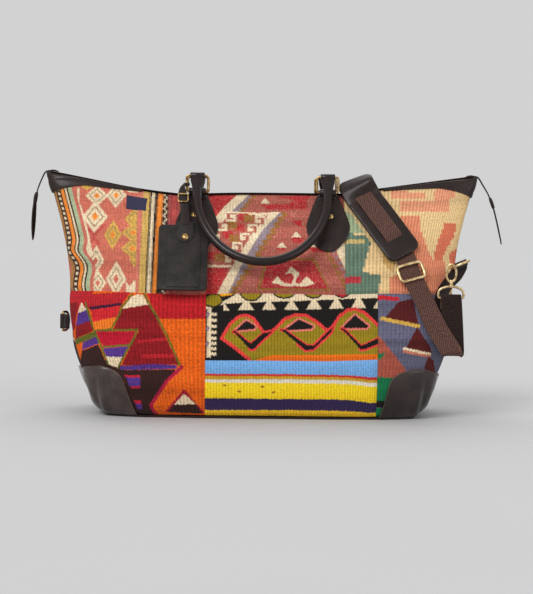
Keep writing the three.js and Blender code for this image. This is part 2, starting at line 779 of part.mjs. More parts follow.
function pull(turn) {
  const strand = (y) => ribbon([
    [0, 0.4], [4, 0.6], [8, -3], [11.5, -14], [14.5, -26], [15.2, -33],
  ].map(([x, z]) => ({
    at: new THREE.Vector3(pinX + x, y * (1 - Math.max(-z, 0) / 44), pinZ + z),
    across: new THREE.Vector3(0, 1, 0),
    width: 1.6,
  })), 1.6);
  const pin = box(1.6, 6, 1.6).translate(pinX, 0, pinZ + 0.4);
  const across = new THREE.Vector3(Math.sin(turn), Math.cos(turn), 0);
  const tab = ribbon([
    [15, -29, 0.5], [16, -34, 0.85], [16.6, -46, 0.8], [16, -62, 1], [14.5, -82, 0.9],
    [13, -PULL_LENGTH + 4, 0.45], [12.6, -PULL_LENGTH, 0.15],
  ].map(([x, z, share]) => ({
    at: new THREE.Vector3(pinX + x, 0, pinZ + z), across, width: PULL_WIDTH * share,
  })), 2.6);
  return join(pin, strand(2.4), strand(-2.4), tab);
}

const tipRight = placed(sliderX, 0, sliderZ, 0, -zipSlope * THREE.MathUtils.RAD2DEG, 0);
const tipLeft = tipRight.clone().premultiply(HALF_TURN);
add("zip_slider_right", slider(), FINISHES.brass, tipRight);
add("zip_slider_left", slider(), FINISHES.brass, tipLeft);
add("zip_pull_right", pull(0.15), FINISHES.leather, tipRight);
add("zip_pull_left", pull(0.7), FINISHES.leather, tipLeft);

// Snap hook in its own frame: the bar of its strap loop lies along X at the origin, the hook points to +Z
const hookFoot = CLIP_LOOP_HEIGHT + 5;
const hookMid = hookFoot + HOOK_HEIGHT / 2 - 2;
const hookSeat = hookMid + HOOK_HEIGHT / 2 - CLIP_WIRE * 1.5 - 1.6;

function deeShape(width, height, inset) {
  const x = width / 2 - inset;
  const low = inset;
  const high = height - inset;
  const shape = new THREE.Shape();
  shape.moveTo(-x, low);
  shape.lineTo(x, low);
  shape.lineTo(x, height * 0.35);
  shape.absellipse(0, height * 0.35, x, high - height * 0.35, 0, Math.PI, false, 0);
  return shape;
}

function deeRing(width, height, wire, segments) {
  const shape = deeShape(width, height, 0);
  shape.holes.push(deeShape(width, height, wire));
  return plate(shape, wire, segments, wire * 0.28).translate(0, 0, -wire / 2);
}

function clipLoop() {
  const socket = new THREE.CylinderGeometry(3.4, 3.4, 4, 10).rotateX(Math.PI / 2);
  return join(deeRing(CLIP_LOOP_WIDTH, CLIP_LOOP_HEIGHT, CLIP_WIRE, 4),
    socket.translate(0, 0, CLIP_LOOP_HEIGHT - 1));
}

function hookRing() {
  const shape = new THREE.Shape();
  shape.absellipse(0, 0, HOOK_WIDTH / 2, HOOK_HEIGHT / 2, 0, Math.PI * 2, false, 0);
  const hole = new THREE.Path();
  hole.absellipse(0, 0, HOOK_WIDTH / 2 - CLIP_WIRE, HOOK_HEIGHT / 2 - CLIP_WIRE, 0, Math.PI * 2, false, 0);
  shape.holes.push(hole);
  return plate(shape, CLIP_WIRE, 7, 0.9).translate(0, 0, hookMid);
}

const gateLow = hookMid - 5;
const gateHigh = hookMid + 5;

function gateSpace(play) {
  const tall = gateHigh - gateLow + 2 * play;
  return box(HOOK_WIDTH / 2, CLIP_WIRE * 2, tall).translate(HOOK_WIDTH / 4 + 2, 0, hookMid);
}

function hookBody() {
  const stem = new THREE.CylinderGeometry(2.5, 2.5, 6, 10).rotateX(Math.PI / 2);
  return cut(join(hookRing(), stem.translate(0, 0, hookFoot - 0.6)), gateSpace(0.7));
}

function hookGate() {
  const whole = toSolid(hookRing());
  return fromSolid(whole.intersect(toSolid(gateSpace(0))));
}

function basis(x, y, z, at) {
  return new THREE.Matrix4().makeBasis(x.normalize(), y.normalize(), z.normalize()).setPosition(at);
}

const V = (x, y, z) => new THREE.Vector3(x, y, z);

// Right snap hook hangs in front of the right seam, on the left leg of a D-ring whose bow points forward
const rightClip = V(BELLY_WIDTH / 2 - 7.5, -SEAM_BELLY_DEPTH / 2 - 24, SIDE_TAB_LEVEL + 40);
const rightSeat = rightClip.clone().add(V(0, 0, hookSeat));
const deeReach = DEE_HEIGHT - CLIP_WIRE;
const rightBow = V(-0.17, -1, 0).normalize();
const rightBarWay = V(0.9, -0.153, 0.4).normalize();
const rightBar = rightSeat.clone().addScaledVector(rightBarWay, (DEE_WIDTH - CLIP_WIRE) / 2)
  .addScaledVector(rightBow, -7.5);

// The strap crosses the top beside the right handle ring. Its other hook hangs free behind the bag,
// pointing down
const strapX = RING_X + RING_WIDTH / 2 + PAD_WIDTH / 2 + 2.5;
const rearClip = V(strapX + 11, BELLY_DEPTH / 2 + 10, DEPTH_LEVEL - 1);

// Left D-ring, swung rearward behind its side tab
const leftBow = V(0.3, 1, 0).normalize();
const leftBar = V(-seamX(SIDE_TAB_LEVEL) - SIDE_TAB_REACH, -seamY(SIDE_TAB_LEVEL) + 8, SIDE_TAB_LEVEL);

add("strap_loop_right", clipLoop(), FINISHES.brass, placed(rightClip.x, rightClip.y, rightClip.z));
const rightHook = placed(rightClip.x, rightClip.y, rightClip.z, 0, 0, -9);
add("snap_hook_right", hookBody(), FINISHES.brass, rightHook);
add("hook_gate_right", hookGate(), FINISHES.brass, rightHook);
add("dee_ring_right", deeRing(DEE_WIDTH, DEE_HEIGHT, CLIP_WIRE, 4), FINISHES.brass,
  basis(rightBarWay.clone(), V(0, 0, 0).crossVectors(rightBow, rightBarWay), rightBow.clone(), rightBar));

const rearHook = basis(V(1, 0, 0), V(0, -1, 0), V(0, 0, -1), rearClip);
add("strap_loop_rear", clipLoop(), FINISHES.brass, rearHook);
add("snap_hook_rear", hookBody(), FINISHES.brass, rearHook);
add("hook_gate_rear", hookGate(), FINISHES.brass, rearHook);
add("dee_ring_left", deeRing(DEE_WIDTH, DEE_HEIGHT, CLIP_WIRE, 4), FINISHES.brass,
  basis(V(0, 0, 1), V(0, 0, 0).crossVectors(leftBow, V(0, 0, 1)), leftBow.clone(), leftBar));

// Leather side tabs sewn in at the front seams, each rolled round the bar of its D-ring
function sideTab(stations, bar, way) {
  const turn = new THREE.Quaternion().setFromUnitVectors(V(1, 0, 0), way);
  const loop = barLoop(SIDE_TAB_WIDTH, CLIP_WIRE / 2 + 0.7, CLIP_WIRE / 2 + 2.6).applyQuaternion(turn);
  const bore = new THREE.CylinderGeometry(CLIP_WIRE / 2 + 0.7, CLIP_WIRE / 2 + 0.7, DEE_WIDTH, 8);
  bore.rotateZ(Math.PI / 2).applyQuaternion(turn).translate(bar.x, bar.y, bar.z);
  return cut(join(ribbon(stations, 3), loop.translate(bar.x, bar.y, bar.z)), bore);
}

const tabStation = (at, across) => ({ at, across, width: SIDE_TAB_WIDTH });
const leftSeam = V(-seamX(SIDE_TAB_LEVEL), -seamY(SIDE_TAB_LEVEL), SIDE_TAB_LEVEL);
add("side_tab_left", sideTab([
  tabStation(leftSeam.clone().add(V(-0.2, -1.4, 0)), V(0, 0, 1)),
  tabStation(leftSeam.clone().add(V(-SIDE_TAB_REACH / 2, -2, 0)), V(0, 0, 1)),
  tabStation(leftBar.clone().add(V(3, -6, 0)), V(0, 0, 1)),
  tabStation(leftBar.clone().add(V(-0.5, -3.4, 0)), V(0, 0, 1)),
], leftBar, V(0, 0, 1)), FINISHES.leather);

const wallward = V(0.86, 0.51, 0);
add("side_tab_right", sideTab([
  tabStation(frontOffset(rightClip.x - 9, SIDE_TAB_LEVEL - 6, 2.8), wallward),
  tabStation(frontOffset(rightClip.x - 11, SIDE_TAB_LEVEL + 14, 2.8), wallward),
  tabStation(frontOffset(rightClip.x - 14, SIDE_TAB_LEVEL + 34, 3.2), wallward),
  tabStation(frontOffset(rightClip.x - 12, SIDE_TAB_LEVEL + 53, 5), wallward),
  tabStation(rightBar.clone().add(V(-13, 10, -13)), V(0.95, 0.2, 0.2)),
  tabStation(rightBar.clone().add(V(-1, 3.4, -2)), rightBarWay),
], rightBar, rightBarWay), FINISHES.leather);

// Shoulder strap: one webbing from the rear hook up the rear, over the top, through the pad's two
// slits, down through the strap slider to a hanging fold, and up to the right hook
function onFront(x, z, out) {
  const h = shareAt(x, z);
  const q = frontAt(x, h);
  return { at: wallPoint(q, h), face: wallNormal(q, h), out };
}

function onRear(x, z, out) {
  const { at, face } = onFront(-x, z, out);
  return { at: at.applyMatrix4(HALF_TURN), face: face.applyMatrix4(HALF_TURN), out };
}

const free = (at, face) => ({ at, face, out: 0 });
const bend = CLIP_WIRE / 2 + WEBBING_THICK / 2 + 1.2;
const topZ = BAG_HEIGHT + 21;

// Half turn of the webbing round a clip's bar, from the side away from the tail to the tail's side
function wrap(clip, side, tip) {
  return [0, 1, 2, 3, 4].map((i) => {
    const a = (i / 4) * Math.PI;
    const way = side.clone().multiplyScalar(Math.cos(a)).addScaledVector(tip, Math.sin(a));
    return { at: clip.clone().addScaledVector(way, bend), way };
  });
}

const strapRoute = [
  free(rearClip.clone().add(V(0, -bend, 16)), V(0, -1, 0)),
  ...wrap(rearClip, V(0, -1, 0), V(0, 0, -1)).map(({ at, way }) => free(at, way)),
  free(rearClip.clone().add(V(0, bend, 16)), V(0, 1, 0)),
  free(rearClip.clone().add(V(0, bend - 1, 34)), V(0, 1, 0.05)),
  onRear(strapX + 11, BAG_HEIGHT - 168, 4),
  onRear(strapX + 12, BAG_HEIGHT - 135, 3),
  onRear(strapX + 12, BAG_HEIGHT - 102, 2.5),
  onRear(strapX + 11, BAG_HEIGHT - 68, 2.5),
  onRear(strapX + 9, BAG_HEIGHT - 34, 2.5),
  onRear(strapX + 5, BAG_HEIGHT - 14, 4),
  free(V(strapX + 3, TOP_DEPTH / 2 + 9, topZ - 13), V(0, 1, 0.4)),
  free(V(strapX + 1, TOP_DEPTH / 2 - 1, topZ - 2), V(0, 0.6, 1)),
  free(V(strapX, 1, topZ), V(0, 0, 1)),
];

const padRoute = [
  free(V(strapX, -TOP_DEPTH / 2 + 5, topZ - 3), V(0, -0.5, 1)),
  free(V(strapX + 1, -TOP_DEPTH / 2 - 7, topZ - 13), V(0, -1, 0.5)),
  ...[0, 1, 2, 3, 4, 5, 6].map((i) => onFront(strapX + 8 + 9 * i, BAG_HEIGHT - 10 - 12.6 * i, 1)),
];

const hangRoute = [
  onFront(strapX + 64, BAG_HEIGHT - 97, 5),
  onFront(strapX + 67, BAG_HEIGHT - 109, 6),
  onFront(strapX + 73, BAG_HEIGHT - 122, 6),
  onFront(strapX + 85, rightClip.z - 6, 5),
  free(rightClip.clone().add(V(-20, -9, -40)), V(0, -1, 0.05)),
  free(rightClip.clone().add(V(-7, -15, -67)), V(0, -1, 0.05)),
  free(rightClip.clone().add(V(-3, -14.5, -74.5)), V(0, -0.8, -0.6)),
  free(rightClip.clone().add(V(-1.4, -10.5, -77.5)), V(0, 0, -1)),
  free(rightClip.clone().add(V(-0.8, -6.5, -74.5)), V(0, 0.8, -0.6)),
  free(rightClip.clone().add(V(-0.4, -5.5, -67)), V(0, 1, 0)),
  free(rightClip.clone().add(V(0, -bend, -14)), V(0, 1, 0.1)),
  ...wrap(rightClip, V(0, -1, 0), V(0, 0, 1)).map(({ at, way }) => free(at, way.negate())),
  free(rightClip.clone().add(V(0, bend, -16)), V(0, -1, 0)),
];

// Stations of a band along a route, lifted from it by the given distance
function band(route, lift, width) {
  return route.map(({ at, face, out }, i) => {
    const before = route[Math.max(i - 1, 0)].at;
    const after = route[Math.min(i + 1, route.length - 1)].at;
    const along = V(0, 0, 0).subVectors(after, before);
    const face1 = face.clone().normalize();
    return {
      at: at.clone().addScaledVector(face1, out + lift(i)),
      across: V(0, 0, 0).crossVectors(along, face1),
      width: width(i),
    };
  });
}

const underPad = 1.8;
const overPad = underPad + WEBBING_THICK + 1 + PAD_THICK;
const padLift = [underPad, underPad - 0.9, overPad, overPad, overPad, overPad, overPad, underPad, underPad];
const webbing = [
  ...band(strapRoute, () => 0, () => WEBBING_WIDTH),
  ...band(padRoute, (i) => padLift[i], () => WEBBING_WIDTH - 3),
  ...band(hangRoute, () => 0, () => WEBBING_WIDTH),
];
add("strap_webbing", ribbon(webbing, WEBBING_THICK), FINISHES.webbing);

const padMid = underPad + WEBBING_THICK / 2 + 0.5 + PAD_THICK / 2;
const padEnds = [0.62, 0.96, 1, 1, 1, 1, 1, 0.98, 0.66];
const padBand = band(padRoute, () => padMid, (i) => PAD_WIDTH * padEnds[i]);
const slitWide = () => WEBBING_WIDTH + 1;
const slits = [[1, 3], [6, 8]].map(([from, to]) => (
  ribbon(band(padRoute, () => padMid, slitWide).slice(from, to), PAD_THICK * 3)));
add("shoulder_pad", cut(ribbon(padBand, PAD_THICK), ...slits), FINISHES.leather);

// Strap slider: a frame over the webbing, its middle bar behind it
function strapSlider() {
  const wide = WEBBING_WIDTH + 4 + 2 * CLIP_WIRE;
  const lift = WEBBING_THICK / 2 + 0.7;
  const bar = box(wide - CLIP_WIRE, 2, CLIP_WIRE).translate(0, lift + 1, 0);
  const post = (x) => box(CLIP_WIRE, 2 * lift + 3, CLIP_WIRE).translate(x, 0.5 - lift / 3, 0);
  const side = (wide - CLIP_WIRE) / 2;
  const frame = wireFrame(wide, 22, CLIP_WIRE, 5).translate(0, -lift - CLIP_WIRE / 2, 0);
  return join(frame, bar, post(-side), post(side));
}

const slideStation = band(hangRoute, () => 0, () => WEBBING_WIDTH)[1];
const slideFace = hangRoute[1].face.clone().normalize();
const slideAcross = slideStation.across.clone().normalize().negate();
const slideBack = slideFace.clone().negate();
add("strap_slider", strapSlider(), FINISHES.brass,
  basis(slideAcross, slideBack, V(0, 0, 0).crossVectors(slideAcross, slideBack), slideStation.at));

export default group;
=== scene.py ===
"""Looks of the kilim weekender bag: cloth, leather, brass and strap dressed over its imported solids."""

import logging
import math
from dataclasses import dataclass, field
from enum import Enum
from typing import Callable, Optional, Sequence

import bpy
import numpy as np
from mathutils import Matrix, Vector


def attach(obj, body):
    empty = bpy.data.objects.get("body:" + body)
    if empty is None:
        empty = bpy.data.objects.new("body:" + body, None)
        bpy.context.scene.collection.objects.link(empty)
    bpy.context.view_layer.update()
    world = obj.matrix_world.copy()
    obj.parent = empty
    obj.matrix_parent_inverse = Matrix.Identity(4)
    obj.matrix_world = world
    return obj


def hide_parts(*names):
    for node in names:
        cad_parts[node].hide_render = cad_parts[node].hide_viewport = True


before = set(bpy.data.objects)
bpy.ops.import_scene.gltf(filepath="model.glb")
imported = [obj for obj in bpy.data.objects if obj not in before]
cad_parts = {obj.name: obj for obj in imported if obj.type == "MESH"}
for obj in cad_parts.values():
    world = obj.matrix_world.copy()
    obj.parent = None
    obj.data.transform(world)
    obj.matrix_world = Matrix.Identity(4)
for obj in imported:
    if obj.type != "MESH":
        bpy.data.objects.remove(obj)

LOG = logging.getLogger("kilim_bag")
MM = 0.001
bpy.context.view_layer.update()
Array = np.ndarray
Pair = tuple[float, float]
Colour = tuple[float, float, float]
EdgeLine = Callable[[Array], Array]
Thing = bpy.types.Object
Socket = bpy.types.NodeSocket
Material = bpy.types.Material


def linear(colour: Colour) -> Array:
    """Turns a colour written as 0 to 255 screen values into light values."""
    part = np.asarray(colour, float) / 255.0
    return np.where(part <= 0.04045, part / 12.92, ((part + 0.055) / 1.055) ** 2.4)


def rgba(colour: Colour) -> tuple[float, float, float, float]:
    """Gives a screen colour as a shader socket's four values."""
    r, g, b = linear(colour)
    return (float(r), float(g), float(b), 1.0)


def ramp(value: Array, low: float, high: float) -> Array:
    """Rises from 0 at low to 1 at high, level outside."""
    return np.clip((value - low) / (high - low), 0.0, 1.0)


def unit(vectors: Array) -> Array:
    """Scales vectors in the last axis to length one."""
    return vectors / np.maximum(np.linalg.norm(vectors, axis=-1, keepdims=True), 1e-9)


def vec(x: float, y: float, z: float) -> Array:
    """Names a point or direction in millimetres."""
    return np.array((x, y, z), float)


def placed(at: Sequence[float], rx: float = 0.0, ry: float = 0.0, rz: float = 0.0) -> Array:
    """Builds a place from a point in millimetres and turns in degrees about X, Y and Z."""
    turn = (Matrix.Rotation(math.radians(rx), 4, "X") @ Matrix.Rotation(math.radians(ry), 4, "Y")
            @ Matrix.Rotation(math.radians(rz), 4, "Z"))
    place = np.array(turn)
    place[:3, 3] = at
    return place


def basis(x: Array, y: Array, z: Array, at: Array) -> Array:
    """Builds a place from its three axes and its origin."""
    place = np.eye(4)
    for column, axis in enumerate((x, y, z)):
        place[:3, column] = unit(axis)
    place[:3, 3] = at
    return place


def move(points: Array, place: Array) -> Array:
    """Carries points in their last axis into a place."""
    return points @ place[:3, :3].T + place[:3, 3]


HALF_TURN = placed((0, 0, 0), rz=180)


class Body(Enum):
    """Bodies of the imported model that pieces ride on."""

    BAG = "bag"
    FRONT_HANDLE = "front_handle"
    REAR_HANDLE = "rear_handle"
    TAG = "tag"
    SLIDER_LEFT = "zip_slider_left"
    SLIDER_RIGHT = "zip_slider_right"
    PULL_LEFT = "zip_pull_left"
    PULL_RIGHT = "zip_pull_right"
    HOOK_RIGHT = "hook_right"
    GATE_RIGHT = "gate_right"
    HOOK_REAR = "hook_rear"
    GATE_REAR = "gate_rear"
    DEE_LEFT = "dee_left"


@dataclass(frozen=True)
class Profile:
    """Smooth curve over the height, through stations of level, value and slope."""

    stations: tuple[tuple[float, float, float], ...]

    def at(self, level: Array) -> Array:
        """Gives the curve's value at each level, held level beyond the end stations."""
        stops = np.array(self.stations)
        level = np.clip(level, stops[0, 0], stops[-1, 0])
        k = np.clip(np.searchsorted(stops[:, 0], level, side="right") - 1, 0, len(stops) - 2)
        low, high = stops[k], stops[k + 1]
        span = high[..., 0] - low[..., 0]
        t = (level - low[..., 0]) / span
        return (low[..., 1] * (2 * t**3 - 3 * t**2 + 1) + low[..., 2] * span * (t**3 - 2 * t**2 + t)
                + high[..., 1] * (3 * t**2 - 2 * t**3) + high[..., 2] * span * (t**3 - t**2))


@dataclass(frozen=True)
class BagWall:
    """Outer wall of the bag; place q runs front, right gusset, rear, left gusset, and share h runs up."""

    height: float = 308.0
    floor: float = 3.4
    ear_rise: float = 28.0
    ear_start: float = 0.36
    sag: float = 5.5
    corner_power: float = 5.0
    feel_q: float = 0.05
    feel_h: float = 0.02
    seam_x: Profile = Profile(((0, 215, 0.62), (150, 264.5, 0.02), (205, 271, 0.22), (308, 302, 0.28)))
    seam_y: Profile = Profile(((0, 60, 0.3), (75, 75, 0), (308, 4.5, -0.2)))
    half_depth: Profile = Profile(((0, 100, 0.45), (75, 116, 0), (308, 19, -0.65)))
    bulge: Profile = Profile(((0, 5, 0.1), (75, 10, 0), (226, -34, 0), (308, -3.4, 0.1)))

    def zip_height(self, u: Array) -> Array:
        """Gives the zip line's height, sagging left of the handles, at a share u of the half width."""
        rise = self.ear_rise * np.maximum(np.abs(u) - self.ear_start, 0) / (1 - self.ear_start)
        return self.height + rise - self.sag * np.exp(-((u + 0.56) / 0.3) ** 2)

    def point(self, q: Array, h: Array) -> Array:
        """Gives points of the wall.

        Args:
            q: Places round the bag.
            h: Shares of the height.

        Returns:
            Points in millimetres in the last axis.
        """
        turn = np.mod(q, 4.0)
        side = np.floor(turn).astype(int)
        w = 2 * (turn - side) - 1
        level = h * self.height
        sx, sy = self.seam_x.at(level), self.seam_y.at(level)
        u = np.sin(w * math.pi / 2)
        belly = np.sqrt(np.maximum(1 - np.abs(u) ** self.corner_power, 0))
        gusset = side % 2 == 1
        facing = np.where(side < 2, 1.0, -1.0)
        x = np.where(gusset, sx + self.bulge.at(level) * np.cos(w * math.pi / 2) ** 2, u * sx)
        y = np.where(gusset, w * sy, -(sy + (self.half_depth.at(level) - sy) * belly))
        z = self.floor + h * (self.zip_height(facing * np.where(gusset, 1.0, u)) - self.floor)
        return np.stack((facing * x, facing * y, z), -1)

    def normal(self, q: Array, h: Array) -> Array:
        """Gives the wall's outward direction."""
        along = self.point(q + self.feel_q, h) - self.point(q - self.feel_q, h)
        up = self.point(q, h + self.feel_h) - self.point(q, h - self.feel_h)
        return unit(np.cross(along, up))

    def front(self, x: Array, h: Array) -> Array:
        """Gives the place q of a front point x millimetres right of the middle."""
        u = np.clip(x / self.seam_x.at(h * self.height), -1, 1)
        return (np.arcsin(u) / (math.pi / 2) + 1) / 2

    def share(self, x: Array, z: Array) -> Array:
        """Gives the share h of a front point at x and z."""
        h = np.asarray(z, float) / self.height
        for _ in range(8):
            u = np.clip(x / self.seam_x.at(h * self.height), -1, 1)
            h = (z - self.floor) / (self.zip_height(u) - self.floor)
        return h

    def on_face(self, x: float, z: float, out: float = 0.0, rear: bool = False) -> tuple[Array, Array]:
        """Gives a point of the front or the rear, lifted off the wall, and its outward direction."""
        h = self.share(x, z)
        q = self.front(-x, h) + 2 if rear else self.front(x, h)
        face = self.normal(q, h)
        return self.point(q, h) + face * out, face


WALL = BagWall()


def across_share(q: Array) -> Array:
    """Gives how far a place lies from the middle of its face, 1 all over the gussets."""
    turn = np.mod(q, 4.0)
    side = np.floor(turn)
    return np.where(side % 2 == 1, 1.0, np.abs(np.sin((2 * (turn - side) - 1) * math.pi / 2)))


def long_seam(q: Array) -> Array:
    """Gives the share of the long seam between upper and lower patches."""
    return (170 - 15 * across_share(q) ** 2.5) / WALL.height


def leather_top(q: Array) -> Array:
    """Gives the share of the lower edge of the leather that tops the bag."""
    u = across_share(q)
    return 1 - (1.6 + 9 * ramp(u, 0.54, 0.86) + 16.5 * ramp(u, 0.83, 1.0) ** 1.4) / WALL.height


def fixed(value: float) -> EdgeLine:
    """Gives an edge at one share of the height, or at one place round the bag."""
    return lambda other: np.full_like(other, value)


def seam_at(x: float, turns: int = 0) -> EdgeLine:
    """Gives an upright seam x millimetres right of the front's middle, or of the rear's after 2 turns."""
    return lambda h: WALL.front(x, h) + turns


STRIPE_SEAM = fixed(78 / WALL.height)
FLOOR_EDGE = fixed(0.001)
ZIP_EDGE = fixed(1 - 0.4 / WALL.height)
# Spacing of the kilim's warp ribs in millimetres.
RIB = 3.9


class NodeDesk:
    """Lays out the nodes of a material, or of the studio's air."""

    def __init__(self, owner: bpy.types.ID) -> None:
        """Starts on the owner's nodes."""
        owner.use_nodes = True
        self.owner = owner
        self.nodes = owner.node_tree.nodes
        self.links = owner.node_tree.links

    def put(self, socket: Socket, value: object) -> None:
        """Links a socket to another, or sets its value."""
        if isinstance(value, Socket):
            self.links.new(value, socket)
        else:
            socket.default_value = value

    def add(self, kind: str, inputs: dict, **settings: object) -> bpy.types.Node:
        """Adds a node.

        Args:
            kind: Node type, without its ShaderNode start.
            inputs: Socket names or numbers, with values or sockets.
            settings: The node's own settings.

        Returns:
            The node.
        """
        node = self.nodes.new("ShaderNode" + kind)
        for name, value in settings.items():
            setattr(node, name, value)
        for name, value in inputs.items():
            self.put(node.inputs[name], value)
        return node

    def cloth(self, **mapping: tuple) -> Socket:
        """Gives the cloth's own coordinates, scaled or turned if told."""
        flat = self.add("UVMap", {}, uv_map="UVMap").outputs[0]
        return self.add("Mapping", {"Vector": flat, **mapping}).outputs[0] if mapping else flat

    def place(self) -> Socket:
        """Gives the piece's own coordinates."""
        return self.add("TexCoord", {}).outputs["Object"]

    def math(self, operation: str, a: object, b: object) -> Socket:
        """Adds a sum and gives its result."""
        return self.add("Math", {0: a, 1: b}, operation=operation).outputs[0]

    def span(self, value: object, low: float, high: float, start: float = 0.0, end: float = 1.0) -> Socket:
        """Stretches a value, which runs from start to end, to another range."""
        return self.add("MapRange", {0: value, 1: start, 2: end, 3: low, 4: high}).outputs[0]

    def mix(self, share: object, a: object, b: object, blend: str = "MIX") -> Socket:
        """Mixes two colours and gives the result."""
        return self.add("Mix", {0: share, 6: a, 7: b}, data_type="RGBA", blend_type=blend).outputs[2]

    def noise(self, vector: Socket, scale: float, detail: float = 3.0, rough: float = 0.55) -> Socket:
        """Adds a noise and gives its strength."""
        inputs = {"Vector": vector, "Scale": scale, "Detail": detail, "Roughness": rough}
        return self.add("TexNoise", inputs).outputs["Fac"]

    def wave(self, vector: Socket, scale: float, way: str, **inputs: float) -> Socket:
        """Adds bands along X or Y and gives their strength."""
        sockets = {"Vector": vector, "Scale": scale, **inputs}
        return self.add("TexWave", sockets, bands_direction=way).outputs["Fac"]

    def bump(self, height: Socket, distance: float, strength: float) -> Socket:
        """Adds relief and gives its direction."""
        return self.add("Bump", {"Height": height, "Distance": distance, "Strength": strength}).outputs[0]

    def finish(self, **sockets: object) -> Material:
        """Sets the shader's sockets, named with underscores, and gives the material."""
        for name, value in sockets.items():
            self.put(self.nodes["Principled BSDF"].inputs[name.replace("_", " ")], value)
        return self.owner


@dataclass(frozen=True)
class Finish:
    """A finish that is made once and shared by its pieces."""

    name: str
    slot: str

    def make(self, desk: NodeDesk) -> Material:
        """Builds the material."""
        raise NotImplementedError

    def material(self) -> Material:
        """Gives the material, built on first use."""
        made = bpy.data.materials.get(self.name)
        return made or self.make(NodeDesk(bpy.data.materials.new(self.name)))


@dataclass(frozen=True)
class KilimFinish(Finish):
    """Flat-woven wool: upright warp ribs, packed weft and its dyed colours."""

    # Depth of the rib relief in millimetres, and how far the rib valleys are darkened as painted shade.
    rib: float = 0.1
    relief: float = 0.0008

    def make(self, desk: NodeDesk) -> Material:
        """Builds the weave from its painted colours and its cloth coordinates."""
        dye = desk.add("VertexColor", {}, layer_name="weave").outputs["Color"]
        uneven = {"Distortion": 0.4, "Detail": 1.0, "Detail Scale": 2.0}
        rib = desk.wave(desk.cloth(), 10 * math.pi / RIB, "X", **uneven)
        weft = desk.noise(desk.cloth(Scale=(24.0, 105.0, 1.0)), 1.0, 3.0, 0.6)
        wander = desk.noise(desk.cloth(Scale=(1.0, 6.0, 1.0)), 18.0, 2.0)
        # Painted shade: the colour is darkened in the valleys between the warp ribs.
        shade = desk.math("ADD", desk.span(rib, -self.rib, 0.5 * self.rib),
                          desk.span(weft, 0.76, 1.24, 0.25, 0.75))
        shade = desk.math("ADD", shade, desk.span(wander, -0.06, 0.06, 0.3, 0.7))
        colour = desk.mix(1.0, dye, shade, "MULTIPLY")
        height = desk.math("ADD", desk.math("MULTIPLY", rib, 0.5), desk.math("MULTIPLY", weft, 0.9))
        return desk.finish(Base_Color=colour, Roughness=0.92, Specular_IOR_Level=0.15, Sheen_Weight=0.05,
                           Sheen_Roughness=0.6, Normal=desk.bump(height, self.relief, 0.8))


@dataclass(frozen=True)
class LeatherFinish(Finish):
    """Dark waxed leather with fine grain, scuffs and a soft shine."""

    dark: Colour = (25, 14, 11)
    light: Colour = (45, 30, 25)
    rough: float = 0.4
    gloss: float = 0.2
    wax: float = 0.15
    grain: float = 900.0
    relief: float = 0.00022

    def make(self, desk: NodeDesk) -> Material:
        """Builds the leather from its tone, grain and scuffs."""
        place = desk.place()
        tone = desk.noise(place, 42.0, 5.0, 0.62)
        fine = desk.noise(place, 420.0, 3.0, 0.6)
        voronoi = desk.add("TexVoronoi", {"Vector": place, "Scale": self.grain}, feature="SMOOTH_F1")
        cells = voronoi.outputs["Distance"]
        share = desk.math("ADD", desk.span(tone, -0.25, 1.05, 0.3, 0.7),
                          desk.span(fine, -0.25, 0.25, 0.3, 0.7))
        colour = desk.mix(share, rgba(self.dark), rgba(self.light))
        colour = desk.mix(desk.span(cells, 0.0, 0.35, 0.35, 0.7), colour, rgba(self.dark))
        height = desk.math("SUBTRACT", desk.math("MULTIPLY", fine, 0.5), cells)
        rough = desk.span(tone, self.rough + 0.12, self.rough - 0.1, 0.3, 0.7)
        return desk.finish(Base_Color=colour, Roughness=rough, Specular_IOR_Level=self.gloss,
                           Coat_Weight=self.wax, Coat_Roughness=0.14,
                           Normal=desk.bump(height, self.relief, 0.7))


@dataclass(frozen=True)
class BrassFinish(Finish):
    """Antique brass, darker where it is handled less."""

    bright: Colour = (232, 208, 164)
    dull: Colour = (176, 144, 98)

    def make(self, desk: NodeDesk) -> Material:
        """Builds the metal from its patina."""
        place = desk.place()
        patina = desk.noise(place, 160.0, 4.0, 0.6)
        scratch = desk.noise(place, 900.0, 2.0, 0.5)
        colour = desk.mix(desk.span(patina, 0.0, 1.0, 0.38, 0.62), rgba(self.dull), rgba(self.bright))
        return desk.finish(Base_Color=colour, Metallic=1.0,
                           Roughness=desk.span(scratch, 0.26, 0.42, 0.3, 0.7),
                           Normal=desk.bump(scratch, 0.00006, 0.4))


@dataclass(frozen=True)
class WebbingFinish(Finish):
    """Woven strap webbing with a twill of dark and light brown yarn, darker on its back: a darker back yarn
    and painted shade.
    """

    dark: Colour = (50, 33, 28)
    light: Colour = (124, 88, 76)
    # Share of the colour kept on the back: a darker back yarn together with painted shade.
    back: float = 0.2

    def make(self, desk: NodeDesk) -> Material:
        """Builds the webbing from its yarns; the back lies more than half a metre aside in its map."""
        cloth = desk.cloth()
        twill = desk.wave(desk.cloth(Rotation=(0.0, 0.0, 0.7)), 11.0, "X", Distortion=1.2)
        weft = desk.wave(cloth, 14.0, "Y", Distortion=0.6)
        fleck = desk.noise(cloth, 55.0, 3.0, 0.75)
        height = desk.math("ADD", twill, weft)
        share = desk.math("MULTIPLY", height, desk.span(fleck, 0.0, 0.95, 0.35, 0.7))
        # Painted shade: the back of the webbing, seen on the strap's return run, is darkened.
        side = desk.add("SeparateXYZ", {0: cloth}).outputs[0]
        colour = desk.mix(1.0, desk.mix(share, rgba(self.dark), rgba(self.light)),
                          desk.span(side, 1.0, self.back, 4.0, 4.1), "MULTIPLY")
        return desk.finish(Base_Color=colour, Roughness=0.85, Specular_IOR_Level=0.2, Sheen_Weight=0.06,
                           Normal=desk.bump(height, 0.0005, 0.7))


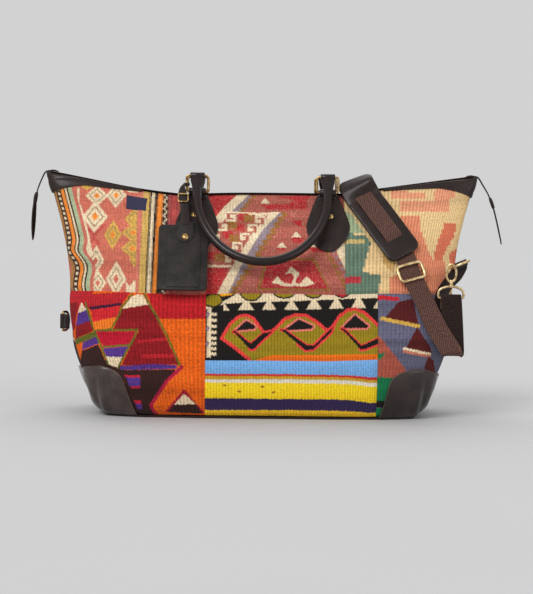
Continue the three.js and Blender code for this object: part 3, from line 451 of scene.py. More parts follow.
@dataclass(frozen=True)
class LabelFinish(Finish):
    """Plain navy label cloth with a fine square weave."""

    dark: Colour = (28, 27, 52)
    light: Colour = (50, 49, 84)

    def make(self, desk: NodeDesk) -> Material:
        """Builds the label's weave."""
        cloth = desk.cloth()
        yarn = desk.math("MULTIPLY", desk.wave(cloth, 60.0, "X"), desk.wave(cloth, 60.0, "Y"))
        share = desk.math("MULTIPLY", desk.math("ADD", yarn, desk.noise(cloth, 30.0)), 0.6)
        return desk.finish(Base_Color=desk.mix(share, rgba(self.dark), rgba(self.light)), Roughness=0.8,
                           Normal=desk.bump(yarn, 0.0003, 0.5))


@dataclass(frozen=True)
class FloorFinish(Finish):
    """Pale studio paper that keeps the bag's shadow."""

    pale: Colour = (197, 197, 197)
    shade: Colour = (195, 195, 195)

    def make(self, desk: NodeDesk) -> Material:
        """Builds the paper from its faint tone."""
        tone = desk.span(desk.noise(desk.place(), 3.0, 2.0), 0.0, 1.0)
        return desk.finish(Base_Color=desk.mix(tone, rgba(self.shade), rgba(self.pale)), Roughness=0.95,
                           Specular_IOR_Level=0.05)


KILIM = KilimFinish("kilim_weave", "kilim_red")
KILIM_RIBBED = KilimFinish("kilim_weave_ribbed", "kilim_red", 0.2)
KILIM_STRAW = KilimFinish("kilim_weave_straw", "kilim_straw", 0.24)
KILIM_DARK = KilimFinish("kilim_weave_dark", "kilim_dark", 0.22)
KILIM_STRIPE = KilimFinish("kilim_weave_stripe", "kilim_stripe", 0.16)
GUSSET_CLOTH = KilimFinish("gusset_weave", "gusset_cloth")
# Relief of rubbed leather in metres.
SMOOTH = 0.00012
LEATHER = LeatherFinish("dark_leather_waxed", "dark_leather")
FACING_LEATHER = LeatherFinish("facing_leather", "dark_leather", (24, 15, 13), (40, 28, 25), 0.8, 0.04, 0.0)
CORNER_LEATHER = LeatherFinish("corner_leather_waxed", "dark_leather", (34, 23, 21), (52, 40, 37),
                               0.3, 0.3, 0.5, relief=SMOOTH)
# Lighter copy of the corner leather for the left corners: painted light, standing for the brighter light on
# that side.
LIT_CORNER_LEATHER = LeatherFinish("corner_leather_painted_lit", "dark_leather", (54, 42, 39), (82, 69, 65),
                              0.34, 0.3, 0.5, relief=SMOOTH)
EDGE_LEATHER = LeatherFinish("cut_edge_leather", "dark_leather", (88, 70, 62), (124, 102, 92), 0.6, 0.1)
HANDLE_LEATHER = LeatherFinish("handle_leather_waxed", "dark_leather", (22, 12, 10), (36, 23, 20),
                               0.3, 0.22, 0.2, relief=SMOOTH)
TAG_LEATHER = LeatherFinish("tag_leather_waxed", "tag_leather", (30, 27, 25), (50, 45, 42), 0.5, 0.2, 0.0)
BRASS = BrassFinish("antique_brass", "brass")
AGED_BRASS = BrassFinish("aged_brass", "brass", (206, 174, 116), (128, 98, 60))
BLACKENED = BrassFinish("blackened_brass", "brass", (58, 48, 42), (26, 21, 20))
WEBBING = WebbingFinish("strap_weave", "webbing")
NAVY = LabelFinish("navy_label", "navy_cloth")
FLOOR_PAPER = FloorFinish("studio_paper", "")


@dataclass(frozen=True)
class Spots:
    """Small places of one patch of cloth that take a colour each, in millimetres."""

    x: Array
    z: Array
    left: Array
    right: Array
    up: Array


@dataclass(frozen=True)
class Field:
    """One-colour shape with straight sides."""

    colour: Colour
    points: tuple[Pair, ...]

    def covers(self, spots: Spots) -> Array:
        """Tells which spots lie inside the shape."""
        inside = np.zeros(spots.x.shape, bool)
        ring = np.array(self.points, float)
        for (ax, az), (bx, bz) in zip(ring, np.roll(ring, -1, 0)):
            if az != bz:
                crossing = (spots.z < az) != (spots.z < bz)
                inside ^= crossing & (spots.x < (bx - ax) * (spots.z - az) / (bz - az) + ax)
        return inside


@dataclass(frozen=True)
class Line:
    """One-colour line of a given width through its points."""

    colour: Colour
    points: tuple[Pair, ...]
    width: float

    def covers(self, spots: Spots) -> Array:
        """Tells which spots the line covers."""
        near = np.full(spots.x.shape, 1e9)
        for (ax, az), (bx, bz) in zip(self.points[:-1], self.points[1:]):
            dx, dz = bx - ax, bz - az
            t = np.clip(((spots.x - ax) * dx + (spots.z - az) * dz) / (dx * dx + dz * dz), 0, 1)
            near = np.minimum(near, np.hypot(spots.x - ax - t * dx, spots.z - az - t * dz))
        return near <= self.width / 2


@dataclass(frozen=True)
class Diamond:
    """One-colour diamond, an oval at power 2; hollow by a share, and repeated over the patch at a pitch."""

    colour: Colour
    centre: Pair
    half: Pair
    hollow: float = 0.0
    power: float = 1.0
    pitch: Optional[Pair] = None

    def covers(self, spots: Spots) -> Array:
        """Tells which spots lie in the diamond or one of its repeats."""
        x, z = spots.x - self.centre[0], spots.z - self.centre[1]
        if self.pitch:
            row = np.floor(z / self.pitch[1] + 0.5)
            x = np.mod(x + np.mod(row, 2) * self.pitch[0] / 2, self.pitch[0]) - self.pitch[0] / 2
            z = z - row * self.pitch[1]
        reach = (np.abs(x) / self.half[0]) ** self.power + (np.abs(z) / self.half[1]) ** self.power
        return (reach <= 1.0) & (reach >= self.hollow)


@dataclass(frozen=True)
class Border:
    """One-colour upright stripe at a distance from the patch's left or right seam, dotted if told."""

    colour: Colour
    start: float
    end: float
    right: bool = False
    dots: float = 0.0

    def covers(self, spots: Spots) -> Array:
        """Tells which spots the stripe covers."""
        away = spots.right if self.right else spots.left
        hit = (away >= self.start) & (away < self.end)
        if self.dots:
            hit &= np.mod(spots.up, self.dots) < 0.5 * self.dots
        return hit


@dataclass(frozen=True)
class Band:
    """One-colour level stripe between two lines drawn from left to right."""

    colour: Colour
    top: tuple[Pair, ...]
    bottom: tuple[Pair, ...]

    def covers(self, spots: Spots) -> Array:
        """Tells which spots lie between the lines."""
        high = np.interp(spots.x, [p[0] for p in self.top], [p[1] for p in self.top])
        low = np.interp(spots.x, [p[0] for p in self.bottom], [p[1] for p in self.bottom])
        return (spots.z <= high) & (spots.z > low)


@dataclass(frozen=True)
class Weave:
    """Pattern of one patch: a ground and the shapes woven over it, in order."""

    ground: Colour
    shapes: tuple = ()
    seed: int = 1
    streak: float = 0.08
    sway: float = 0.0
    block: float = 0.0
    fleck: float = 0.0
    knot: float = 0.08
    streak_run: int = 36
    slow_rows: int = 9

    def shade(self, spots: Spots, jog: Array) -> Array:
        """Gives the colour of the shape that each spot lies in.

        Args:
            spots: The places, in rows and columns.
            jog: How far each column's weft is packed up or down.

        Returns:
            A light value colour for each.
        """
        x, z = spots.x, spots.z + jog
        sway = self.sway * (np.exp(-((z - 226) / 10) ** 2) - np.exp(-((z - 203) / 13) ** 2))
        if self.block:
            x, z = ((np.floor(v / self.block) + 0.5) * self.block for v in (x, z))
        woven = Spots(x, z, spots.left + sway, spots.right, spots.up)
        colours = np.tile(linear(self.ground), (*x.shape, 1))
        for shape in self.shapes:
            colours[shape.covers(woven)] = linear(shape.colour)
        return colours

    def paint(self, spots: Sequence[Spots]) -> Array:
        """Dyes a patch, one colour for each crossing of rib and weft.

        Args:
            spots: The same crossings seen at a few places each.

        Returns:
            A light value colour for each crossing.
        """
        rng = np.random.default_rng(self.seed)
        rows, columns = spots[0].x.shape
        jog = rng.uniform(-0.6, 0.6, columns)
        colours = sum(self.shade(part, jog) for part in spots) / len(spots)
        place = np.arange(columns) / self.streak_run
        k = place.astype(int)
        dips = rng.normal(0.0, self.streak, (rows, k[-1] + 2))
        streaks = dips[:, k] + (dips[:, k + 1] - dips[:, k]) * (place - k)
        stops = rows // self.slow_rows + 2
        level = rng.normal(1.0, self.streak, stops)
        slow = np.interp(np.arange(rows) / self.slow_rows, np.arange(stops), level)
        knots = rng.normal(1.0, self.knot + 0.6 * self.fleck, (rows, columns))
        worn = self.fleck * np.maximum(rng.normal(0.0, 1.6, (rows, columns)), 0)[..., None]
        colours = colours + (linear(FLECK) - colours) * np.minimum(worn, 0.7)
        return np.clip(colours * ((1 + 0.7 * streaks) * slow[:, None] * knots)[..., None], 0.002, 0.95)


# Wool colours as screen values.
CREAM = (230, 208, 172)
CORAL = (202, 106, 86)
ROSE = (172, 88, 76)
CRIMSON = (182, 34, 42)
WINE = (138, 24, 30)
ORANGE = (228, 96, 20)
APRICOT = (238, 134, 44)
MUSTARD = (208, 164, 74)
OCHRE = (150, 98, 40)
OLIVE = (98, 104, 36)
LAVENDER = (140, 124, 134)
VIOLET = (84, 52, 132)
PLUM = (58, 26, 50)
INK = (26, 22, 21)
BROWN = (52, 29, 27)
SLATE = (96, 95, 116)
SKY = (114, 166, 218)
YELLOW = (255, 212, 34)
NAVY_BLUE = (52, 40, 80)
SALMON = (226, 152, 116)
STRAW = (226, 192, 138)
SAGE = (158, 172, 136)
TEAL = (100, 122, 104)
GREEN = (22, 122, 74)
MAROON = (84, 26, 26)
BRICK = (168, 84, 66)
RUST = (190, 76, 68)
CLAY = (220, 136, 102)
CHERRY = (190, 30, 50)
HAIRLINE = (150, 118, 84)
FLECK = (206, 170, 146)


def kilim_diamond(centre: Pair, half: Pair, colour: Colour, heart: Colour) -> tuple:
    """Draws a diamond with a fine inner outline and a small heart."""
    inner, small = ((half[0] * k, half[1] * k) for k in (0.68, 0.28))
    return (Diamond(colour, centre, half), Diamond(HAIRLINE, centre, inner, 0.84),
            Diamond(heart, centre, small))


def oval(colour: Colour, centre: Pair, half: Pair) -> Diamond:
    """Draws a rounded shape."""
    return Diamond(colour, centre, half, power=2)


def nested(pitch: Pair, centre: Pair, *rings: tuple[Colour, Pair]) -> tuple:
    """Repeats diamonds, one inside the other, over the whole patch."""
    return tuple(Diamond(colour, centre, half, pitch=pitch) for colour, half in rings)

PAST_SIDES = 400
ABOVE_ZIP = 330
BELOW_SEAM = 150


def level_bands(*rows: tuple[Colour, float, float]) -> tuple:
    """Draws level stripes, each from its top to its foot."""
    return tuple(Band(colour, *(((-PAST_SIDES, z), (PAST_SIDES, z)) for z in (top, low)))
                 for colour, top, low in rows)


def running_hook(centre: Pair, way: int = 1) -> tuple:
    """Draws a square curl of pale wool round its rose channel, turned half round where way is -1."""
    def at(*points: Pair) -> tuple:
        return tuple((centre[0] + way * x, centre[1] + way * z) for x, z in points)

    return (Field(CREAM, at((-7, 4.2), (7, 4.2), (7, -5.8), (-7, -5.8))),
            Line(ROSE, at((-2.6, 0.2), (4, 0.2)), 2.0),
            Field(ROSE, at((1.2, 1.2), (5.6, 1.2), (5.6, -7.4), (1.2, -7.4))),
            Line(ROSE, at((-7, -6.6), (5, -6.6)), 1.7))


def toothed(colour: Colour, high: Pair, low: Pair, wide: float, teeth: int, bite: float) -> Field:
    """Draws a slanted band, down its left side from high to low, whose right side has teeth of one bite."""
    edge = [(high[0] + (low[0] - high[0]) * k / (2 * teeth) + wide + bite * (k % 2),
             high[1] + (low[1] - high[1]) * k / (2 * teeth)) for k in range(2 * teeth + 1)]
    return Field(colour, (high, *edge, low))


def upright(colour: Colour, top: Pair, low: Pair) -> Field:
    """Draws an upright stripe between two places at the top and two at the long seam."""
    return Field(colour, ((top[0], ABOVE_ZIP), (top[1], ABOVE_ZIP), (low[1], BELOW_SEAM),
                          (low[0], BELOW_SEAM)))


KILIM_DIAMONDS = (
    ((-231, 302), (16, 15), CREAM, APRICOT), ((-232, 273), (18, 22), CREAM, APRICOT),
    ((-204, 303), (14, 18), CREAM, APRICOT), ((-206, 248), (12, 21), MUSTARD, APRICOT),
    ((-177, 270), (14, 15), MUSTARD, MUSTARD), ((-178, 251), (17, 13), MUSTARD, APRICOT),
    ((-178, 229), (16, 14), MUSTARD, APRICOT), ((-175, 214), (7, 10), MUSTARD, MUSTARD),
    ((-228, 212), (12, 21), CREAM, CORAL), ((-224, 182), (12, 17), CREAM, CORAL),
    ((-199, 188), (14, 24), CREAM, CORAL))
DIAMOND_WEAVE = Weave(CORAL, (
    Line(RUST, ((-243, 258), (-232, 247), (-219, 262)), 4),
    Line(RUST, ((-241, 226), (-233, 244), (-224, 234)), 4),
    Line(CREAM, ((-257, 312), (-256, 287)), 3),
    Line(CREAM, ((-256, 286), (-249, 264), (-243, 246), (-239, 228), (-233, 208), (-228, 190),
        (-222, 166)), 9),
    Diamond(MUSTARD, (-245, 315), (9, 5)),
    *(shape for row in KILIM_DIAMONDS for shape in kilim_diamond(*row)),
    Field(CREAM, ((-192, 314), (-172, 312), (-174, 307), (-188, 308))),
    Field(CREAM, ((-185, 162), (-185, 181), (-189, 191), (-181, 178), (-170, 191), (-170, 162))),
    upright((206, 116, 98), (-174, -166), (-172, -167)),
    upright((204, 166, 86), (-166, -157), (-168, -158)), upright(INK, (-157, -131), (-159, -131)),
    upright(CREAM, (-154, -150), (-157, -152)), upright(APRICOT, (-145, -137), (-150, -145)),
    upright((188, 86, 84), (-131, -120), (-131, -120)),
    Line(CREAM, tuple((-135 + 2.4 * (-1) ** k, 320 - 5 * k) for k in range(34)), 1.6),
    Border((170, 116, 58), 0, 5.4), Border((52, 36, 26), 5.4, 13.2), Border(CREAM, 7.6, 11, dots=7.6),
    Border(APRICOT, 13.2, 17.8), Border(INK, 17.8, 19.4), Border(CREAM, 19.4, 22), Border(INK, 22, 24.4),
    Border((166, 180, 142), 24.4, 30), Border((196, 104, 88), 30, 35)), seed=3, sway=5.0, fleck=0.07)
BANDED_WEAVE = Weave(ROSE, (
    Border((184, 70, 68), 0, 9),
    Field(CRIMSON, ((-76, 306), (-35, 306), (-54, 289), (-66, 272), (-73, 288))),
    toothed(OCHRE, (-26, 306), (-46, 281), 15, 4, 6), toothed(LAVENDER, (-26, 306), (-46, 281), 9, 4, 6),
    Field(CREAM, ((-34, 308), (-18, 308), (-42, 283), (-65, 255), (-67, 272), (-52, 290))),
    Line(CREAM, ((-50, 281), (-10, 279), (22, 280)), 3.4), toothed(OCHRE, (14, 282), (-58, 170), 18, 14, 7),
    toothed(LAVENDER, (14, 282), (-58, 170), 10.5, 14, 6),
    Field(CREAM, ((25, 282), (-1, 256), (-24, 218), (-46, 170), (-62, 170), (-40, 208), (-12, 256),
        (12, 282))),
    *(Field(colour, ((x - 7, z - 5), (x + 7, z - 5), (x + 7, z + 5), (x - 7, z + 5)))
        for colour, x, z in ((CRIMSON, -26, 275), (CRIMSON, -32, 261), (CRIMSON, -48, 250),
        (CRIMSON, -67, 220), (OCHRE, -19, 273), (OCHRE, -42, 263), (OCHRE, -39, 245), (OCHRE, -58, 218),
        (CRIMSON, -56, 232))),
    *(shape for centre in ((-3.3, 272.9), (-13.7, 261.1), (-23.8, 249), (-34.5, 235.8), (-43.7, 217.4))
        for shape in running_hook(centre)),
    *(shape for centre in ((-43.6, 272.2), (-55.4, 259.3), (-66, 245))
        for shape in running_hook(centre, -1)),
    Line(CREAM, ((-75, 206), (-43, 207)), 3),
    Field(CRIMSON, ((-75, 204), (-46, 204), (-50, 192), (-63, 166), (-76, 166))),
    Field(CRIMSON, ((18, 304), (70, 308), (63, 300), (62, 286), (6, 286), (-1, 292), (38, 294), (44, 300))),
    *(Field(CREAM, ((x, z + 8), (x - 7, z), (x + 7, z))) for x, z in ((4, 294), (47, 247), (27, 233),
        (70, 234))),
    Field(CRIMSON, ((39, 246), (58, 247), (58, 241), (45, 238))),
    Field(CRIMSON, ((18, 232), (33, 232), (28, 228), (22, 229))),
    Field(CRIMSON, ((65, 233), (89, 233), (85, 227), (69, 227))),
    Field(CRIMSON, ((41, 269), (55, 271), (55, 261), (49, 263))),
    Field(CREAM, ((101, 237), (118, 243), (118, 196), (104, 224))),
    toothed(LAVENDER, (94, 232), (118, 186), -2, 6, 8), toothed(OCHRE, (84, 232), (118, 168), 1, 7, 8),
    Field(OCHRE, ((5, 217), (72, 219), (94, 175), (-7, 175))),
    Field((174, 36, 46), ((8, 214), (69, 216), (90, 178), (-2, 178))),
    Field(CREAM, ((13, 185), (21, 194), (29, 186), (40, 184), (44, 194), (40, 199), (31, 197), (36, 202),
        (39, 208), (51, 198), (47, 191), (45, 186), (51, 184), (61, 195), (72, 185), (58, 181),
        (31, 181)))), seed=5, streak=0.13, fleck=0.1)
STEPPED_WEAVE = Weave(STRAW, (
    Field(SAGE, ((110, 288), (120, 285), (134, 267), (141, 254), (110, 253))),
    Field(TEAL, ((110, 254), (143, 253), (150, 241), (146, 231), (138, 201), (162, 197), (158, 165),
        (110, 165))),
    Field((196, 172, 112), ((110, 245), (142, 245), (142, 240), (110, 240))),
    Field((182, 56, 66), ((110, 194), (135, 194), (135, 185), (110, 185))),
    # Darker straw field: a painted shadow on the straw ground.
    Field((200, 160, 98), ((166, 238), (180, 238), (185, 224), (179, 200), (165, 214))),
    Field(CLAY, ((173, 196), (186, 197), (200, 184), (209, 158), (176, 158))),
    Field(SALMON, ((181, 314), (227, 313), (227, 303), (181, 302))),
    Field(SALMON, ((192, 299), (240, 299), (240, 315), (249, 320), (269, 318), (269, 307), (261, 303),
        (261, 285), (193, 284))),
    Field(CLAY, ((190, 280), (219, 279), (219, 262), (223, 252), (228, 236), (234, 220),
        (253, 217), (252, 158), (200, 158), (212, 205), (204, 249))),
    Field((212, 114, 84), ((254, 270), (270, 269), (268, 253), (256, 236), (248, 218), (236, 218),
        (240, 237), (247, 254))),
    Field((214, 116, 86), ((258, 227), (280, 240), (278, 210), (256, 210)))),
        seed=7, streak=0.07, block=3.0)
PEAK_WEAVE = Weave(ORANGE, (
    Field(CRIMSON, ((-270, 175), (-230, 175), (-232, 147), (-249, 140), (-270, 150))),
    Field(WINE, ((-270, 152), (-249, 155), (-253, 120), (-259, 113), (-270, 125))),
    Field(CREAM, ((-245, 155), (-237, 145), (-249, 140))),
    Field(VIOLET, ((-249, 140), (-237, 145), (-232, 135), (-231, 131), (-252, 123))),
    Field(WINE, ((-252, 123), (-231, 131), (-228, 117), (-254, 105))),
    Field(OLIVE, ((-254, 105), (-228, 116), (-223, 110), (-244, 101), (-255, 96))),
    Field(VIOLET, ((-243, 101), (-223, 110), (-221, 100), (-241, 92), (-245, 89))),
    Field(BROWN, ((-245, 89), (-221, 99), (-210, 77), (-188, 72), (-176, 5), (-250, 5), (-248, 68))),
    Line(OLIVE, ((-239, 154), (-229, 124), (-222, 107), (-206, 73)), 2.8),
    Field(CRIMSON, ((-238, 166), (-178, 172), (-189, 155), (-232, 147))),
    Field(PLUM, ((-234, 149), (-189, 156), (-191, 151), (-232, 144))),
    Field((212, 40, 46), ((-231, 145), (-192, 152), (-194, 137), (-229, 129))),
    Field((232, 118, 36), ((-229, 129), (-196, 137), (-201, 121), (-214, 119), (-226, 118))),
    Field((190, 30, 36), ((-158, 175), (-74, 175), (-74, 136), (-138, 135), (-150, 153))),
    Field(WINE, ((-189, 148), (-154, 154), (-150, 151), (-111, 74), (-188, 72), (-177, 98), (-166, 118),
        (-201, 119), (-194, 137))),
    Line(CRIMSON, ((-160, 84), (-118, 86)), 5), Line(CRIMSON, ((-166, 104), (-130, 108)), 4),
    Field(CREAM, ((-176, 165), (-169, 168), (-162, 167), (-154, 154), (-189, 148), (-184, 155))),
    Line(OLIVE, ((-176, 168), (-190, 150), (-194, 137), (-204, 120), (-224, 117)), 2.6),
    Line(OLIVE, ((-160, 169), (-153, 155), (-142, 138), (-129, 115), (-118, 92), (-110, 73)), 2.8),
    Field((188, 22, 46), ((-224, 117), (-170, 118), (-176, 100), (-214, 97), (-221, 108))),
    Line(OLIVE, ((-222, 118), (-168, 120), (-176, 100), (-214, 96)), 2.4),
    Field(VIOLET, ((-214, 94), (-179, 98), (-185, 83), (-209, 83))),
    Field(CREAM, ((-210, 83), (-186, 83), (-190, 73), (-194, 69), (-205, 72))),
    Line(OLIVE, ((-176, 103), (-193, 69)), 2.6),
    Field(BROWN, ((-190, 66), (-118, 67), (-115, 65), (-128, 49), (-138, 33), (-149, 18), (-141, 3),
        (-178, 3), (-184, 51))),
    Field(VIOLET, ((-190, 71), (-149, 74), (-114, 73), (-114, 68), (-190, 66))),
    Line((176, 24, 62), ((-107, 71), (-128, 50), (-149, 17), (-142, 3)), 4.5),
    Field(CHERRY, ((-184, 59), (-163, 59), (-163, 56), (-184, 56))),
    Field(VIOLET, ((-182, 56), (-163, 56), (-163, 44), (-178, 44))),
    Field(CHERRY, ((-176, 44), (-163, 44), (-163, 41), (-176, 41))),
    Field(CHERRY, ((-172, 24), (-162, 24), (-162, 19), (-170, 19))),
    Field(VIOLET, ((-170, 19), (-161, 19), (-161, 11), (-167, 11))),
    Field((160, 24, 50), ((-104, 41), (-75, 6), (-130, 8))),
    Field(BROWN, ((-117, 19), (-88, 20), (-79, 6), (-127, 8))),
    Field(CREAM, ((-104, 34), (-88, 20), (-117, 19)))), seed=11, streak=0.1, knot=0.15)
HOOK_EYES = (
    ((-36, 120), (-21, 134), (-8, 127), (-10, 123)), ((30, 122), (50, 137), (70, 128), (67, 124)),
    ((108, 125), (126, 143), (145, 129), (142, 126)))
HOOK_CHANNELS = (
    ((-38, 119), (-35, 118), (-15, 102), (3, 117), (15, 121), (12, 118), (-11, 96), (-16, 96)),
    ((27, 122), (31, 122), (61, 101), (70, 101), (89, 120), (97, 128), (94, 120), (86, 112), (70, 97),
     (60, 95), (49, 104)),
    ((108, 125), (112, 123), (135, 101), (161, 113), (161, 106), (140, 98), (134, 97)))
HOOK_WAVE = ((-54, 110), (-43, 129), (-31, 139), (-21, 141), (-11, 137), (-4, 127), (3, 118), (12, 119),
    (20, 125), (31, 137), (46, 143), (60, 142), (74, 134), (87, 123), (92, 122), (98, 130), (105, 141),
    (116, 149), (126, 151), (140, 146), (151, 136), (162, 126), (162, 80), (-16, 80), (-30, 93), (-43, 103))
HOOK_CORAL = (228, 62, 60)
HOOK_OLIVE = (148, 126, 26)
HOOK_OVALS = (
    ((-66, 161), 11, 8, HOOK_OLIVE), ((-15, 174), 14, 12, HOOK_OLIVE), ((30, 175), 14, 9, HOOK_OLIVE),
    ((70, 176), 12, 9, HOOK_OLIVE), ((109, 175), 9, 7, CRIMSON))
HOOK_WEAVE = Weave(INK, (
    Field((238, 160, 26), ((-80, 180), (-28, 180), (-41, 169), (-54, 166), (-67, 172), (-80, 172))),
    Field(CREAM, ((-80, 150), (-68, 150), (-52, 155), (-52, 147), (159, 153), (162, 176), (-30, 176),
        (-39, 167), (-55, 158), (-80, 160))),
    *(Field(INK, ((left, 150 + 0.05 * left + 9), (right, 150 + 0.05 * right + 9),
        (foot + 3, 147 + 0.03 * foot - 2), (foot - 3, 147 + 0.03 * foot - 2)))
        for left, right, foot in ((-51, -25, -38), (-18, 7, -5), (12, 38, 25), (42, 68, 55), (74, 99, 86),
        (103, 129, 116), (134, 160, 146))),
    *(oval(dye, centre, (wide + rim, tall + rim)) for centre, wide, tall, colour in HOOK_OVALS
        for dye, rim in ((INK, 2.2), (colour, 0))),
    Field(CREAM, ((-74, 150), (-68, 150), (-68, 84), (-74, 84))),
    *(Field(CREAM, ((-70, z - 2), (-61, z - 2), (-61, z + 2), (-70, z + 2)))
        for z in (142, 134, 126, 118, 110, 103, 96, 89)),
    *(Diamond(LAVENDER, (-73, z), (3, 4)) for z in (142, 123, 103)), Field(HOOK_OLIVE, HOOK_WAVE),
    Line(HOOK_CORAL, HOOK_WAVE[:22], 4.2),
    Line(HOOK_CORAL, ((-54, 110), (-43, 103), (-30, 93), (-16, 82)), 4.5),
    *(Line((232, 120, 110), (*eye, eye[0]), 4.6) for eye in HOOK_EYES),
    *(Field(INK, eye) for eye in HOOK_EYES), *(Line(HOOK_CORAL, channel, 5.2) for channel in HOOK_CHANNELS),
    *(Field(INK, channel) for channel in HOOK_CHANNELS),
    *(Line(INK, channel[:4], 2.2) for channel in HOOK_CHANNELS),
    Field((242, 112, 24), ((-16, 79), (13, 88), (162, 91), (162, 76), (-16, 76)))), seed=13, streak=0.07)
STRIPE_LINES = (
    ((-80, 86), (42, 87), (117, 86), (160, 85)), ((-73, 62), (42, 63), (117, 62), (158, 59)),
    ((-73, 59), (42, 60), (117, 59), (158, 55)), ((-73, 54), (42, 56), (117, 55), (158, 51)),
    ((-73, 50), (42, 51), (117, 50), (158, 46)), ((-73, 28), (42, 29), (118, 28), (159, 23)),
    ((-73, 11), (43, 13), (118, 12), (160, 9)), ((-73, -5), (43, -5), (118, -5), (160, -5)))
STRIPE_COLOURS = (SKY, (206, 48, 44), (204, 158, 44), (228, 222, 205), YELLOW, NAVY_BLUE, (244, 194, 40))
STRIPE_WEAVE = Weave(SKY, (
    *(Band(colour, STRIPE_LINES[i], STRIPE_LINES[i + 1]) for i, colour in enumerate(STRIPE_COLOURS)),
    *(oval((150, 96, 40), spot, (2.6, 1.4)) for spot in ((-29, 38), (2, 45), (17, 38), (-49, 46)))),
        seed=17, streak=0.05)
SERRATED_WEAVE = Weave(SLATE, (
    Field(CRIMSON, ((150, 172), (187, 168), (187, 163), (150, 165))),
    Field(MAROON, ((166, 139), (186, 162), (206, 166), (213, 130))),
    Line(MUSTARD, ((163, 139), (213, 129)), 5),
    Field(MAROON, ((195, 99), (211, 128), (230, 101), (233, 91), (228, 93))),
    Line(CREAM, ((193, 99), (230, 91)), 3.4), Line((206, 120, 96), ((193, 95), (229, 88)), 3.4),
    Field(MAROON, ((222, 74), (228, 88), (236, 82), (240, 60), (226, 60))),
    Field(BRICK, ((154, 122), (186, 83), (196, 70), (190, 59), (154, 60))),
    Field(GREEN, ((154, 92), (168, 92), (161, 84), (154, 84))),
    Field(GREEN, ((154, 60), (190, 59), (182, 28), (154, 26))),
    Field(INK, ((154, 26), (182, 28), (179, 17), (154, 17))),
    Field(GREEN, ((154, 16), (179, 17), (176, 3), (154, 3)))), seed=19, streak=0.09)
REAR_DIAMOND_WEAVE = Weave(CRIMSON, (
    *nested((64, 48), (12, 240), (PLUM, (31, 23)), (CREAM, (25, 18)), (CORAL, (19, 14)), (MUSTARD, (8, 6))),
    Border(INK, 0, 5), Border(CREAM, 5, 8), Border(OLIVE, 8, 14)), seed=23, streak=0.12)
REAR_STEP_WEAVE = Weave(STRAW, (
    *nested((72, 56), (30, 236), (SALMON, (34, 26)), (STRAW, (22, 16)), (TEAL, (12, 8))),
    Border(TEAL, 0, 9), Border(CREAM, 9, 12)), seed=29, streak=0.06)
REAR_STRIPE_WEAVE = Weave(NAVY_BLUE, level_bands(
    (ORANGE, 170, 150), (CREAM, 146, 141), (SKY, 141, 118), (CRIMSON, 112, 94), (MUSTARD, 94, 88),
    (YELLOW, 76, 52), (CREAM, 52, 47), (SLATE, 47, 24), (CRIMSON, 18, 6)), seed=31, streak=0.08)
REAR_PEAK_WEAVE = Weave(WINE, (
    *nested((84, 62), (-20, 92), (OLIVE, (41, 30)), (CRIMSON, (35, 25)), (INK, (22, 16)),
            (ORANGE, (12, 8))),
    Border(INK, 0, 5, True), Border(CREAM, 5, 8, True)), seed=37, streak=0.1)
GUSSET_WEAVE = Weave((70, 26, 32), level_bands(
    (SLATE, 300, 268), (BROWN, 268, 250), (CRIMSON, 246, 226), (INK, 220, 204), (MUSTARD, 204, 199),
    (SLATE, 184, 158), (BROWN, 150, 128), (CRIMSON, 120, 104), (CREAM, 104, 100), (INK, 92, 70),
    (SLATE, 60, 36), (BROWN, 26, 8)), seed=41, streak=0.1)


def active_mesh() -> Thing:
    """Gives the object just added."""
    return bpy.context.view_layer.objects.active


def in_edit(*steps: Callable[[], object]) -> None:
    """Runs edit-mode steps on the active object with all of it selected."""
    bpy.ops.object.mode_set(mode="EDIT")
    bpy.ops.mesh.select_all(action="SELECT")
    for step in steps:
        step()
    bpy.ops.object.mode_set(mode="OBJECT")


def only(obj: Thing) -> None:
    """Selects one object alone and makes it active."""
    bpy.ops.object.select_all(action="DESELECT")
    obj.select_set(True)
    bpy.context.view_layer.objects.active = obj


def net(name: str, points: Array, closed: bool = True, fill: bool = True,
        cloth: Optional[tuple[Array, Array]] = None) -> Thing:
    """Wraps a grid over rows of points.

    Args:
        name: The object's name.
        points: Rows, columns and coordinates in millimetres.
        closed: Whether touching edges are welded.
        fill: Whether open ends are capped.
        cloth: Distances across and along the cloth, where it is woven.

    Returns:
        The object.
    """
    rows, columns = points.shape[0] - 1, points.shape[1] - 1
    bpy.ops.mesh.primitive_grid_add(x_subdivisions=columns, y_subdivisions=rows, size=1.0, calc_uvs=True)
    obj = active_mesh()
    obj.name = name
    mesh = obj.data
    flat = np.empty(len(mesh.vertices) * 3)
    mesh.vertices.foreach_get("co", flat)
    flat = flat.reshape(-1, 3)
    i = np.rint((flat[:, 0] + 0.5) * columns).astype(int)
    j = np.rint((flat[:, 1] + 0.5) * rows).astype(int)
    mesh.vertices.foreach_set("co", (points[j, i] * MM).ravel())
    mesh.update()
    if cloth is not None:
        lay_cloth_map(obj, *cloth)
    if closed:
        in_edit(lambda: bpy.ops.mesh.remove_doubles(threshold=1e-6))
        if fill:
            in_edit(lambda: bpy.ops.mesh.fill_holes(sides=0))
        in_edit(lambda: bpy.ops.mesh.normals_make_consistent(inside=False))
    return obj


def lay_cloth_map(obj: Thing, across: Array, up: Array) -> None:
    """Sets the cloth coordinates of a grid, in decimetres."""
    mesh = obj.data
    index = np.empty(len(mesh.loops), int)
    mesh.loops.foreach_get("vertex_index", index)
    uv = np.stack((across.ravel()[index], up.ravel()[index]), -1) / 100.0
    mesh.uv_layers["UVMap"].data.foreach_set("uv", uv.ravel())


